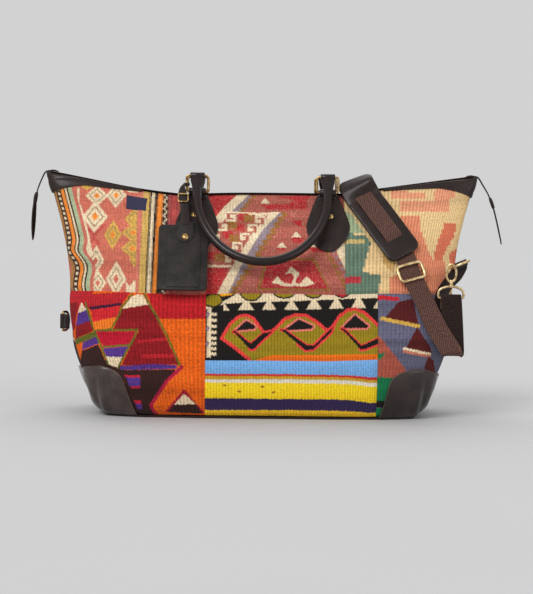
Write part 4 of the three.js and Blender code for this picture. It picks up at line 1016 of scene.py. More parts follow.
def smooth_path(stations: Array, count: int) -> Array:
    """Runs a smooth line through stations, rows of any number of values, and gives a count of rows."""
    rows = np.vstack((2 * stations[0] - stations[1], stations, 2 * stations[-1] - stations[-2]))
    t = np.linspace(0, len(stations) - 1 - 1e-9, count)
    k = t.astype(int)
    f = (t - k)[:, None]
    a, b, c, d = rows[k], rows[k + 1], rows[k + 2], rows[k + 3]
    return 0.5 * (2 * b + (c - a) * f + (2 * a - 5 * b + 4 * c - d) * f**2 + (3 * b - a - 3 * c + d) * f**3)


# How far aside the back of the webbing lies in its cloth map, in millimetres.
BACK_ASIDE = 800.0


def run_along(path: Array) -> Array:
    """Gives the distance of each point of a path from its start."""
    return np.concatenate(([0], np.cumsum(np.linalg.norm(np.diff(path, axis=0), axis=1))))


def sweep(name: str, path: Array, across: Array, half: Sequence, square: float = 1.0, around: int = 16,
          ring: bool = False, mapped: bool = False) -> Thing:
    """Carries a section along a path.

    Args:
        name: The object's name.
        path: Points in millimetres.
        across: Direction of the section's width, one for all points or one for each.
        half: Half width and half thickness, each one value or one for each point.
        square: 1 for a round section, smaller for a squarer one.
        around: Points round the section.
        ring: Whether the path closes on itself.
        mapped: Whether it is woven and needs its cloth coordinates.

    Returns:
        The object.
    """
    tangent = np.gradient(path, axis=0)
    if ring:
        tangent = np.roll(path[:-1], -1, 0) - np.roll(path[:-1], 1, 0)
        tangent = np.vstack((tangent, tangent[:1]))
    tangent = unit(tangent)
    side = unit(across - (across * tangent).sum(-1, keepdims=True) * tangent)
    face = np.cross(tangent, side)
    angle = np.linspace(0, 2 * math.pi, around + 1)
    a, b = (np.sign(v) * np.abs(v) ** square for v in (np.cos(angle), np.sin(angle)))
    wide, thick = (np.broadcast_to(size, (len(path),))[:, None] for size in half)
    points = path[:, None] + side[:, None] * (wide * a)[..., None] + face[:, None] * (thick * b)[..., None]
    if ring:
        points[-1] = points[0]
    points[:, -1] = points[:, 0]
    cloth = None
    if mapped:
        aside = np.where(b > 1e-6, BACK_ASIDE, 0.0)
        cloth = (wide * a + aside, np.repeat(run_along(path)[:, None], around + 1, 1))
    return net(name, points, fill=not ring, cloth=cloth)


def lathe(name: str, outline: Sequence[Pair], place: Array, around: int = 24) -> Thing:
    """Turns an outline of radius and height pairs about a place's Z axis, with points around it."""
    angle = np.linspace(0, 2 * math.pi, around + 1)
    rows = np.array(outline, float)
    local = np.stack((rows[:, :1] * np.cos(angle), rows[:, :1] * np.sin(angle),
                      np.repeat(rows[:, 1:], around + 1, 1)), -1)
    local[:, -1] = local[:, 0]
    return net(name, move(local, place))


def wire_ring(name: str, outline: Array, wire: float, place: Array, around: int = 12) -> Thing:
    """Bends a round wire into a closed outline lying in a place's X and Z plane."""
    loop = np.vstack((outline, outline[:1]))
    path = move(np.stack((loop[:, 0], np.zeros(len(loop)), loop[:, 1]), -1), place)
    return sweep(name, path, place[:3, 1], (wire / 2, wire / 2), 0.8, around, ring=True)


def rolled_loop(name: str, wide: float, reach: Pair, trim: Pair, place: Array, around: int = 28) -> Thing:
    """Rolls a strip of leather round a place's Z axis, between two radii, with its outer edges trimmed."""
    (inner, outer), (back, aside), half = reach, trim, wide / 2
    return lathe(name, ((inner, -half), (outer - back, -half), (outer, aside - half), (outer, half - aside),
                        (outer - back, half), (inner, half), (inner, -half)), place, around)


def rounded(width: float, height: float, radius: float, steps: int = 6) -> Array:
    """Gives a rectangle's outline with rounded corners, centred."""
    corners = ((1, 1, 0), (-1, 1, 90), (-1, -1, 180), (1, -1, 270))
    points = []
    for sx, sz, start in corners:
        for k in range(steps + 1):
            a = math.radians(start + 90 * k / steps)
            points.append((sx * (width / 2 - radius) + radius * math.cos(a),
                           sz * (height / 2 - radius) + radius * math.sin(a)))
    return np.array(points)


def dee(width: float, height: float, wire: float) -> Array:
    """Gives the middle line of a D-shaped wire ring whose straight bar lies on X."""
    x, top, low = (width - wire) / 2, height - wire, height * 0.35
    bow = [(x * math.cos(a), low + (top - low) * math.sin(a)) for a in np.linspace(0, math.pi, 19)]
    r = 1.6
    turn = np.linspace(0, math.pi / 2, 4)
    right = [(x - r + r * math.sin(a), r - r * math.cos(a)) for a in turn]
    left = [(-x + r - r * math.cos(a), r - r * math.sin(a)) for a in turn]
    return np.array([*right, *bow, *left])


def carry(obj: Thing, place: Array) -> Thing:
    """Carries an object's own points into a place, and gives the object."""
    mesh = obj.data
    points = np.empty(len(mesh.vertices) * 3)
    mesh.vertices.foreach_get("co", points)
    mesh.vertices.foreach_set("co", (move(points.reshape(-1, 3) / MM, place) * MM).ravel())
    mesh.update()
    return obj


def thicken(obj: Thing, thick: float, rim_only: bool = False) -> Thing:
    """Gives a sheet its thickness on the inside, or edges turned in that far, and gives the sheet."""
    shell = obj.modifiers.new("thickness", "SOLIDIFY")
    shell.thickness = thick * MM
    shell.offset = -1.0
    shell.use_rim_only = rim_only
    bpy.ops.object.modifier_apply(modifier=shell.name)
    return obj


def plate(name: str, outline: Array, thick: float, bevel: float, place: Array) -> Thing:
    """Cuts a flat piece with softened edges, lying in a place's X and Z plane.

    Args:
        name: The object's name.
        outline: The piece's outline.
        thick: Its thickness along Y.
        bevel: How far its edges are softened.
        place: Where it lies.

    Returns:
        The object.
    """
    bpy.ops.mesh.primitive_circle_add(vertices=len(outline), radius=1.0, fill_type="NGON")
    obj = active_mesh()
    obj.name = name
    flat = np.stack((outline[:, 0], np.full(len(outline), -thick / 2), outline[:, 1]), -1)
    obj.data.vertices.foreach_set("co", (flat * MM).ravel())
    in_edit(lambda: bpy.ops.mesh.extrude_region_move(TRANSFORM_OT_translate={"value": (0, thick * MM, 0)}))
    in_edit(lambda: bpy.ops.mesh.normals_make_consistent(inside=False))
    soften = obj.modifiers.new("soft_edge", "BEVEL")
    soften.width = bevel * MM
    soften.segments = 3
    soften.limit_method = "ANGLE"
    soften.angle_limit = math.radians(50)
    bpy.ops.object.modifier_apply(modifier=soften.name)
    return carry(obj, place)


def together(name: str, *pieces: Thing) -> Thing:
    """Joins pieces of one part into one object."""
    only(pieces[0])
    for piece in pieces:
        piece.select_set(True)
    bpy.ops.object.join()
    pieces[0].name = name
    return pieces[0]


def dress(obj: Thing, finish: Finish, body: Body, *nodes: str, angle: float = 40.0) -> Thing:
    """Finishes a piece: material, smooth shading, the body it rides on and the solids it stands for.

    Args:
        obj: The piece.
        finish: Its finish.
        body: The body it moves with.
        nodes: Solids that it replaces.
        angle: Edges sharper than this stay crisp.

    Returns:
        The piece.
    """
    only(obj)
    obj.data.materials.clear()
    obj.data.materials.append(finish.material())
    bpy.ops.object.shade_smooth_by_angle(angle=math.radians(angle))
    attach(obj, body.value)
    if nodes:
        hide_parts(*nodes)
    LOG.info("%s: %d faces", obj.name, len(obj.data.polygons))
    return obj


def area_of(obj: Thing) -> float:
    """Gives a mesh's surface in square metres."""
    areas = np.empty(len(obj.data.polygons))
    obj.data.polygons.foreach_get("area", areas)
    return float(areas.sum())


@dataclass(frozen=True)
class WallGrid:
    """Net of places on the bag's wall inside four edges."""

    q: Array
    h: Array
    points: Array
    normals: Array
    across: Array
    up: Array

    @property
    def width(self) -> Array:
        """Gives each row's length."""
        return self.across[:, -1:]

    @property
    def tall(self) -> Array:
        """Gives each column's height."""
        return self.up[-1:, :]

    def edge(self) -> Array:
        """Gives the distance of each point from the nearest edge."""
        aside = np.minimum(self.across, self.width - self.across)
        return np.minimum(aside, np.minimum(self.up, self.tall - self.up))


def wall_grid(left: EdgeLine, right: EdgeLine, bottom: EdgeLine, top: EdgeLine, step: Pair) -> WallGrid:
    """Spreads a net over the wall inside four edges.

    Args:
        left: Place of the left edge at each share of the height.
        right: Place of the right edge.
        bottom: Share of the bottom edge at each place.
        top: Share of the top edge.
        step: Spacing of columns and rows in millimetres.

    Returns:
        The net.
    """
    def spread(columns: int, rows: int) -> tuple[Array, Array]:
        t, v = np.meshgrid(np.linspace(0, 1, columns + 1), np.linspace(0, 1, rows + 1))
        h = v * 0.9
        for _ in range(12):
            q = left(h) + (right(h) - left(h)) * t
            low, high = bottom(q), top(q)
            h = low + (high - low) * v
        return q, h

    def lengths(points: Array) -> tuple[Array, Array]:
        run = np.linalg.norm(np.diff(points, axis=1), axis=-1)
        rise = np.linalg.norm(np.diff(points, axis=0), axis=-1)
        across = np.concatenate((np.zeros((points.shape[0], 1)), np.cumsum(run, 1)), 1)
        return across, np.concatenate((np.zeros((1, points.shape[1])), np.cumsum(rise, 0)), 0)

    q, h = spread(24, 24)
    across, up = lengths(WALL.point(q, h))
    q, h = spread(max(int(across[:, -1].max() / step[0]), 4), max(int(up[-1].max() / step[1]), 4))
    points = WALL.point(q, h)
    across, up = lengths(points)
    return WallGrid(q, h, points, WALL.normal(q, h), across, up)


def drape(grid: WallGrid) -> Array:
    """Gives the soft rise and fall of filled cloth, pulled in at its seams, in millimetres."""
    x, y, z = np.moveaxis(grid.points, -1, 0)
    away = grid.edge()
    puff = -1.9 * np.exp(-(away / 3.2) ** 2) - 0.9 * np.exp(-away / 14) + 0.4
    wave = (0.9 * np.sin(x / 31 + z / 47) + 0.7 * np.sin(x / 19 - z / 27 + 1.3)
            + 0.5 * np.sin(y / 13 + z / 17))
    side = np.exp(-((WALL.seam_x.at(grid.h * WALL.height) - np.abs(x)) / 34) ** 2)
    fold = side * (0.9 * np.sin(z / 13.5 + x / 70 + 0.6) + 0.4 * np.sin(z / 7.7 - x / 21))
    return puff + wave * ramp(away, 0, 18) * 0.8 + fold * ramp(away, 2, 14)


@dataclass
class ClothPatch:
    """One sewn patch of kilim cloth; its flat size allows for the take-up in its seams."""

    name: str
    node: str
    weave: Weave
    finish: KilimFinish
    left: EdgeLine
    right: EdgeLine
    bottom: EdgeLine
    top: EdgeLine
    step: Pair = (1.3, 1.0)
    hem: float = 2.2
    take_up: float = 1.02

    def build(self) -> None:
        """Weaves the patch over the wall, dyes it and turns in its edges."""
        grid = wall_grid(self.left, self.right, self.bottom, self.top, self.step)
        ribs = np.broadcast_to(np.arange(grid.q.shape[1]) * self.step[0], grid.q.shape)
        shift = drape(grid) if "gusset" not in self.name else -0.8 * np.exp(-(grid.edge() / 4) ** 2)
        shift = shift - self.finish.rib * np.cos(2 * math.pi * ribs / RIB)
        points = grid.points + grid.normals * shift[..., None]
        obj = net(self.name, points, closed=False, cloth=(ribs, grid.up))
        self.dye(obj, grid)
        dress(thicken(obj, self.hem, rim_only=True), self.finish, Body.BAG, self.node, angle=60)
        area = area_of(obj)
        wide, tall = float(grid.width.max()) * MM, float(grid.tall.max()) * MM
        size = max(self.take_up, area / (wide * tall) * 1.001) ** 0.5

    def dye(self, obj: Thing, grid: WallGrid) -> None:
        """Paints the woven colours on the patch's faces."""
        def inside(values: Array, a: float, b: float) -> Array:
            low = values[:-1, :-1] * (1 - a) + values[:-1, 1:] * a
            return low * (1 - b) + (values[1:, :-1] * (1 - a) + values[1:, 1:] * a) * b

        x = grid.points[..., 0] * (1 if np.mean(grid.points[..., 1]) <= 0 else -1)
        z, left, right = grid.points[..., 2], np.abs(x - x[:, :1]), np.abs(x - x[:, -1:])
        parts = [Spots(*(inside(v, a, b) for v in (x, z, left, right, grid.up)))
                 for a in (0.17, 0.5, 0.83) for b in (0.25, 0.75)]
        colours = self.weave.paint(parts).reshape(-1, 3)
        index = np.empty(len(obj.data.loops), int)
        obj.data.loops.foreach_get("vertex_index", index)
        columns = grid.q.shape[1]
        corner = index.reshape(-1, 4).min(1)
        face = corner // columns * (columns - 1) + corner % columns
        layer = obj.data.color_attributes.new("weave", "FLOAT_COLOR", "CORNER")
        paint = np.ones((len(index), 4))
        paint[:, :3] = np.repeat(colours[face], 4, 0)
        layer.data.foreach_set("color", paint.ravel())


@dataclass
class ClothShell:
    """All cloth patches of the bag, front, rear and gussets."""

    coarse: Pair = (1.95, 2.1)
    gusset_hem: float = 1.4

    def patches(self) -> list[ClothPatch]:
        """Lists the patches with their seams."""
        left, right, rear_left, rear_right = (fixed(q) for q in (0.003, 0.997, 2.003, 2.997))
        upper_left, upper_right, lower_left, lower_right = (seam_at(x) for x in (-126, 114, -76, 158))
        rear_upper, rear_lower = seam_at(20, 2), seam_at(-20, 2)
        upper, lower = (long_seam, ZIP_EDGE), (FLOOR_EDGE, long_seam)
        front = (("diamond", "diamonds", DIAMOND_WEAVE, KILIM, left, upper_left, *upper),
                 ("banded", "banded", BANDED_WEAVE, KILIM, upper_left, upper_right, *upper),
                 ("stepped", "stepped", STEPPED_WEAVE, KILIM_STRAW, upper_right, right, *upper),
                 ("peak", "peaks", PEAK_WEAVE, KILIM_RIBBED, left, lower_left, *lower),
                 ("hook", "hooks", HOOK_WEAVE, KILIM_DARK, lower_left, lower_right, STRIPE_SEAM, long_seam),
                 ("stripe", "stripes", STRIPE_WEAVE, KILIM_STRIPE, lower_left, lower_right,
                  FLOOR_EDGE, STRIPE_SEAM),
                 ("serrated", "serrated", SERRATED_WEAVE, KILIM_STRIPE, lower_right, right, *lower))
        rear = (("diamond", "upper_left", REAR_DIAMOND_WEAVE, KILIM, rear_left, rear_upper, *upper),
                ("step", "upper_right", REAR_STEP_WEAVE, KILIM_STRAW, rear_upper, rear_right, *upper),
                ("stripe", "lower_left", REAR_STRIPE_WEAVE, KILIM_STRIPE, rear_left, rear_lower, *lower),
                ("peak", "lower_right", REAR_PEAK_WEAVE, KILIM, rear_lower, rear_right, *lower))
        return [*(ClothPatch(f"{name}_patch", f"kilim_front_{node}", *rest) for name, node, *rest in front),
                *(ClothPatch(f"rear_{name}_patch", f"kilim_rear_{node}", *rest, self.coarse)
                  for name, node, *rest in rear),
                *(ClothPatch(f"{side}_gusset_cloth", f"gusset_{side}", GUSSET_WEAVE, GUSSET_CLOTH,
                             fixed(q + 0.006), fixed(q + 0.994), FLOOR_EDGE, ZIP_EDGE, self.coarse,
                             self.gusset_hem)
                  for side, q in (("right", 1), ("left", 3)))]

    def build(self) -> None:
        """Sews all patches."""
        for patch in self.patches():
            patch.build()


def leather_sheet(name: str, left: EdgeLine, right: EdgeLine, bottom: EdgeLine, top: EdgeLine,
                  lift: Callable[[WallGrid], Array], thick: float, step: float = 1.6) -> Thing:
    """Moulds leather over the wall inside four edges, lifted off it, with a thickness and a net spacing."""
    grid = wall_grid(left, right, bottom, top, (step, step))
    return thicken(net(name, grid.points + grid.normals * lift(grid)[..., None], closed=False), thick)


def stitch_row(name: str, path: Array, face: Array, length: float, gap: float, thread: float) -> Thing:
    """Sews a row of thread stitches along a line.

    Args:
        name: The object's name.
        path: Points of the line.
        face: Direction out of the leather.
        length: Length of one stitch.
        gap: Space between stitches.
        thread: Half the thread's width.

    Returns:
        The object.
    """
    run = run_along(path)
    half = np.outer((thread, thread * 0.8), (0.5, 0.95, 1.0, 0.95, 0.5))
    pieces = []
    for k in range(max(int(run[-1] / (length + gap)), 1)):
        stops = np.linspace(k * (length + gap), k * (length + gap) + length, 5)
        line = np.stack([np.interp(stops, run, path[:, axis]) for axis in range(3)], -1)
        line = line + np.outer((-0.3, 0.2, 0.35, 0.2, -0.3), face)
        pieces.append(sweep(f"{name}_{k}", line, np.cross(np.gradient(line, axis=0), face), half, 1.0, 6))
    return together(name, *pieces)


@dataclass(frozen=True)
class CornerCut:
    """Cut of a corner patch: reach at the base, how that grows upward, dip at the seam, and finish."""

    reach: float
    flare: float
    dip: float
    finish: LeatherFinish


@dataclass
class LeatherTrim:
    """Leather ears, corner patches and the plain sewn label."""

    ear_start: float = 0.69
    corner_rise: float = 64.0
    corner_wrap: float = 0.42
    ear_thick: float = 2.2
    corner_thick: float = 2.0
    cut_edge: float = 0.55

    def ear(self, name: str, node: str, turns: float) -> None:
        """Moulds one ear round the end of the zip and rolls its top edge inward."""
        grid = wall_grid(fixed(turns + self.ear_start), fixed(turns + 3 - self.ear_start), leather_top,
                         fixed(1 + 1.6 / WALL.height), (1.5, 0.8))
        v = grid.up / np.maximum(grid.tall, 0.1)
        full = ramp(grid.tall, 6, 24)
        swell = 2.6 * full * np.sin(np.pi * np.clip(v, 0, 1)) ** 0.7
        pleat = 1.2 * full * np.exp(-((v - 0.45 - 0.2 * np.cos(grid.q * 3)) / 0.12) ** 2)
        points = grid.points + grid.normals * (1.6 + 0.6 * swell - 0.6 * pleat)[..., None]
        roll = ramp(v, 0.72, 1) ** 2
        points[..., 1] *= 1 - 0.3 * roll
        points[..., 2] -= 0.7 * roll
        dress(thicken(net(name, points, closed=False), self.ear_thick), LEATHER, Body.BAG, node)

    def corner(self, name: str, node: str, q: float, way: int, cut: CornerCut) -> None:
        """Moulds one corner patch round an upright seam."""
        def arch(h: Array) -> Array:
            return np.sqrt(np.maximum(1 - (h * WALL.height / (self.corner_rise + 2)) ** 10, 0.2))

        def wrap(h: Array) -> Array:
            return q + way * self.corner_wrap * arch(h)

        def inward(h: Array) -> Array:
            level = h * WALL.height
            reach = WALL.seam_x.at(level) - (cut.reach + cut.flare * level) * arch(h)
            return q - way * (1 - WALL.front(reach, h))

        def top(at: Array) -> Array:
            return (self.corner_rise - cut.dip * (1 - ramp(way * (q - at), 0, 0.17))) / WALL.height

        def lift(grid: WallGrid) -> Array:
            away = grid.edge()
            seam = np.abs(grid.q - q)
            pinch = -1.3 * np.exp(-(seam / 0.03) ** 2) + 0.7 * np.exp(-((seam - 0.08) / 0.03) ** 2)
            x, _, z = np.moveaxis(np.abs(grid.points), -1, 0)
            from_tuck = WALL.seam_x.at(z) - x - 2 - 0.35 * z
            tuck = ramp(-z, -66, -24) * (2.2 * np.exp(-((np.abs(from_tuck) - 7) / 4) ** 2)
                                         - 1.8 * np.exp(-(from_tuck / 2.4) ** 2))
            fold = 0.4 * np.sin(grid.across / 6.5 + grid.up / 15) * ramp(away, 1, 12)
            roll = -0.9 * np.exp(-(away / 1.6) ** 2)
            crown = 2.0 * ramp(away, 0, 20) ** 0.8
            line = -0.5 * np.exp(-((away - 3.6) / 0.8) ** 2)
            flush = 1.6 * ramp(grid.up / grid.tall, 0.7, 1) * np.exp(-((seam - 0.05) / 0.1) ** 2)
            return 3.3 + roll + crown + fold + pinch + line + tuck * ramp(away, 2, 10) - flush

        sides = (inward, wrap) if way > 0 else (wrap, inward)
        obj = leather_sheet(name, *sides, fixed(0.002), top, lift, self.corner_thick, 1.3)
        dress(obj, cut.finish, Body.BAG, node)
        rim = wall_grid(*sides, fixed(0.002), top, (2.0, 2.0))
        at, out, place = (np.concatenate((rows[:-1, 0 if way > 0 else -1], rows[-1, ::way]))
                          for rows in (rim.points, rim.normals, rim.q))
        shown = way * (q - place) > 0
        rise = 3.0 - 1.6 * np.exp(-((np.abs(q - place) - 0.05) / 0.1) ** 2)
        line = (at + out * rise[:, None])[shown]
        edge = sweep(f"{name}_edge", line, out[shown], (self.cut_edge, self.cut_edge), 1.0, 8)
        dress(edge, EDGE_LEATHER, Body.BAG)

    def label(self) -> None:
        """Sews the bare label on the upper left patch."""
        x, z, wide, tall = -175.0, 291.0, 29.0, 19.0
        grid_edges = (seam_at(x - wide / 2), seam_at(x + wide / 2))
        low, high = (float(WALL.share(x, z + s * tall / 2)) for s in (-1, 1))

        def lift(grid: WallGrid) -> Array:
            return 1.9 - 0.7 * np.exp(-(grid.edge() / 1.2) ** 2) + 0.15 * np.sin(grid.across / 4)

        obj = leather_sheet("plain_label", *grid_edges, fixed(low), fixed(high), lift, 1.0, 0.9)
        dress(obj, NAVY, Body.BAG, "sewn_label")

    def build(self) -> None:
        """Makes all the trim."""
        self.ear("right_ear", "ear_right", 0)
        self.ear("left_ear", "ear_left", 2)
        # The left corners take the lighter leather: painted light for the brighter side.
        right, left = CornerCut(53.0, 0.28, 12.0, CORNER_LEATHER), CornerCut(47.0, 0.15, 7.0, LIT_CORNER_LEATHER)
        for face, side, q, way, cut in (("front", "right", 1, 1, right), ("front", "left", 4, -1, left),
                                        ("rear", "right", 2, -1, right), ("rear", "left", 3, 1, left)):
            self.corner(f"{face}_{side}_corner", f"corner_{face}_{side}", q, way, cut)
        self.label()


@dataclass
class CarryHandle:
    """One rolled handle with its tabs, rings and rivets, front or rear."""

    face: str
    body: Body
    turn: Array
    span: float = 182.0
    rod: float = 12.0
    drop: float = 141.0
    leg: float = 30.0
    tilt: float = 33.5
    low: float = 310.0
    high: float = 331.8
    depth: float = -29.0
    wire: float = 3.2
    ring: Pair = (33.0, 25.0)
    tab_wide: float = 60.0
    tab_long: float = 84.0

    def bar_loop(self, wide: float, leather: float, at: Array) -> Thing:
        """Rolls a leather loop round a ring's bar, which lies along X."""
        reach = (self.wire / 2 + 0.5, self.wire / 2 + 0.5 + leather)
        place = basis(vec(0, 1, 0), vec(0, 0, 1), vec(1, 0, 0), at)
        return rolled_loop("loop", wide, reach, (0.5, 0.6), place)

    def rolled(self) -> None:
        """Rolls the handle's leather from ring to ring."""
        reach, deep = self.span / 2, self.drop - self.leg
        bow = [(-reach * math.cos(a), 0, -self.leg - deep * math.sin(a))
               for a in np.linspace(0, math.pi, 17)]
        ends = (-3, -9, -17, -24)
        path = [*((-reach, 0, z) for z in ends), *bow[1:-1], *((reach, 0, z) for z in ends[::-1])]
        path = smooth_path(np.array(path), 150)
        run = run_along(path)
        flat = 1 - ramp(np.minimum(run, run[-1] - run), 6, 22) ** 0.8
        r = self.rod / 2
        normal = np.gradient(path, axis=0)
        across = np.stack((-normal[:, 2], np.zeros(len(path)), normal[:, 0]), -1)
        place = placed((0, self.depth, self.high), rx=-self.tilt)
        half = (r + flat * 3.6, r - flat * 1.9)
        rod = sweep("rod", move(path, place), across @ place[:3, :3].T, half, 0.95, 22)
        loops = [self.bar_loop(20, 2.7, vec(x, self.depth, self.high)) for x in (-reach, reach)]
        obj = carry(together(f"{self.face}_rolled_handle", rod, *loops), self.turn)
        dress(obj, HANDLE_LEATHER, self.body, f"{self.face}_handle")

    def tab_half(self, share: Array) -> Array:
        """Gives the leaf-shaped tab's half width at a share of its length."""
        low = np.sin(ramp(share, 0, 0.42) * math.pi / 2) ** 0.5
        high = 1 - 0.62 * ramp(share, 0.42, 1) ** 1.25
        return np.maximum(self.tab_wide / 2 * np.where(share < 0.42, low, high), 2.5)

    def tab(self, side: str, x: float) -> None:
        """Makes one handle tab with its rolled loop."""
        foot = self.low - self.tab_long

        def half(h: Array) -> Array:
            return self.tab_half((h * WALL.height - foot) / self.tab_long)

        def lift(grid: WallGrid) -> Array:
            away = grid.edge()
            share = grid.up / grid.tall
            chape = 1.3 * ramp(share, 0.80, 0.815)
            line = -0.35 * np.exp(-((away - 3.4) / 0.6) ** 2)
            return 3.7 - 1.1 * np.exp(-(away / 1.1) ** 2) + 0.6 * ramp(away, 2, 14) + line + chape

        leaf = leather_sheet("leaf", lambda h: WALL.front(x - half(h), h),
                             lambda h: WALL.front(x + half(h), h), fixed(foot / WALL.height),
                             fixed(1 - 3 / WALL.height), lift, 2.6, 1.0)
        loop = self.bar_loop(23, 2.9, vec(x, self.depth, self.low))
        high = WALL.height
        rise = smooth_path(np.array([
            (*WALL.on_face(x, high - 18, 3.2)[0], 16), (*WALL.on_face(x, high - 11, 3.4)[0], 14),
            (x, self.depth + 0.8, self.low - 4.2, 11.5), (x, self.depth - 3.4, self.low - 2.4, 11.5)]), 24)
        neck = sweep("neck", rise[:, :3], vec(1, 0, 0), (rise[:, 3], 1.3), 0.4, 16)
        obj = carry(together(f"{self.face}_{side}_tab", leaf, neck, loop), self.turn)
        dress(obj, LEATHER, Body.BAG, f"handle_tab_{self.face}_{side}")

    def fittings(self, side: str, x: float) -> None:
        """Makes one ring and one rivet."""
        outline = rounded(self.ring[0] - self.wire, self.ring[1] - self.wire, 3.4)
        middle = placed((x, self.depth, (self.low + self.high) / 2))
        ring = wire_ring(f"{self.face}_{side}_ring", outline, self.wire, middle, 14)
        dress(carry(ring, self.turn), AGED_BRASS, Body.BAG, f"handle_ring_{self.face}_{side}")
        at, face = WALL.on_face(x + math.copysign(4, x), self.low - 35, 4.0)
        place = basis(np.cross(face, vec(0, 1, 0.3)), vec(0, 1, 0.3), face, at)
        place[:3, 1] = np.cross(place[:3, 2], place[:3, 0])
        outline = ((0, 0), (4.0, 0), (4.1, 0.4), (3.8, 1.0), (2.6, 1.7), (1.2, 2.0), (0, 2.1))
        head = lathe(f"{self.face}_{side}_rivet", outline, place)
        dress(carry(head, self.turn), AGED_BRASS, Body.BAG, f"rivet_{self.face}_{side}")

    def build(self) -> None:
        """Makes the handle and what holds it."""
        self.rolled()
        for side, x in (("left", -self.span / 2), ("right", self.span / 2)):
            self.tab(side, x)
            self.fittings(side, x)


def tongue(half: float, top: float, foot: float, steps: int) -> Array:
    """Gives the line round a flap with a round end, from its right top to its left top."""
    end = [(half * math.cos(a), foot - half * math.sin(a)) for a in np.linspace(0.2, math.pi - 0.2, steps)]
    return np.array([(half, top), (half, foot), *end, (-half, foot), (-half, top)])


@dataclass
class LuggageTag:
    """Tag hung from the front left ring."""

    hang: tuple[float, float, float] = (-105.9, -29.0, 319.5)
    tilt: float = 30.0
    drop: float = 72.0
    wide: float = 68.0
    tall: float = 102.0
    thick: float = 4.0

    def build(self) -> None:
        """Makes strap, buckle, pouch, flap and stud."""
        place = placed(self.hang, rx=-self.tilt)
        top, face = -self.drop + 9, -self.thick / 2
        rows = smooth_path(np.array([
            (-2.4, -2.6, -0.5, 1.6), (-5.4, -4.6, -9, 3.5), (-5, -4.6, -18, 6), (-2, -4.2, -38, 6),
            (0, -4.0, top + 0.8, 6), (0, -4.1, top - 5, 6)]), 40)
        strap = sweep("strip", move(rows[:, :3], place), place[:3, 0], (rows[:, 3], 1.0), 0.35, 16)
        thong = rolled_loop("thong", 4, (2.55, 4.35), (0.2, 0.4), placed(self.hang), 24)
        dress(together("tag_hanger", strap, thong), LEATHER, Body.TAG, "tag_strap")
        buckle = wire_ring("tag_frame_buckle", rounded(13.4, 12.4, 2.2), 2.0,
                           place @ placed((-4, -6.9, -26)), 10)
        dress(buckle, AGED_BRASS, Body.TAG, "tag_buckle")
        middle = place @ placed((-2.5, 0, -self.drop - self.tall / 2 + 6))
        front = plate("pouch", rounded(self.wide, self.tall, 6), self.thick, 1.3, middle)
        pocket = plate("pocket", rounded(46, self.tall - 18, 3), 1.6, 0.5,
                       middle @ placed((1, face - 0.4, -5)))
        flap = plate("flap", tongue(12, 0, -20, 11), 2.2, 0.8, place @ placed((0, face - 1.6, top)))
        line = np.array([(x, face - 2.7, top + z) for x, z in tongue(9.6, -1, -20, 13)])
        seam = stitch_row("flap_seam", smooth_path(move(line, place), 80), -place[:3, 1], 2.2, 1.0, 0.4)
        dress(together("tag_leather_pouch", front, pocket, flap, seam), TAG_LEATHER, Body.TAG, "tag_pouch")
        outline = ((0, 0), (4.8, 0), (5, 0.6), (4.4, 1.5), (3, 2.3), (1.4, 2.6), (0, 2.7))
        head = lathe("tag_dome_stud", outline, place @ placed((0, face - 2.6, top - 24), rx=90))
        dress(head, AGED_BRASS, Body.TAG, "tag_stud")


@dataclass
class ZipTop:
    """Zip along the top edge: leather facings, toothed chain."""

    reach: float = 0.985
    chain_half: float = 3.4
    tooth: float = 1.8

    def build(self) -> None:
        """Makes both facings and the chain."""
        wide = float(WALL.seam_x.at(WALL.height))
        u = np.linspace(-self.reach, self.reach, 200)
        deep, tip = float(WALL.half_depth.at(WALL.height)), float(WALL.seam_y.at(WALL.height))
        outer = tip + (deep - tip) * np.sqrt(1 - np.abs(u) ** WALL.corner_power) + 0.9
        inner = np.minimum(self.chain_half + 0.4, outer - 2)
        for face, way in (("front", -1), ("rear", 1)):
            path = np.stack((u * wide, way * (outer + inner) / 2, WALL.zip_height(u) + 0.6), -1)
            strip = sweep(f"{face}_facing", path, vec(0, 1, 0), ((outer - inner) / 2, 1.3), 0.4, 16)
            dress(strip, FACING_LEATHER, Body.BAG, f"zip_facing_{face}")
        u = np.linspace(-self.reach, self.reach, int(2 * wide / self.tooth))
        path = np.stack((u * wide, 0 * u, WALL.zip_height(u) + 0.3), -1)
        half = self.chain_half - 0.8 * (np.arange(len(u)) % 2)
        dress(sweep("zip_teeth", path, vec(0, 1, 0), (half, 0.9), 0.4, 8), BLACKENED, Body.BAG, "zip_chain")


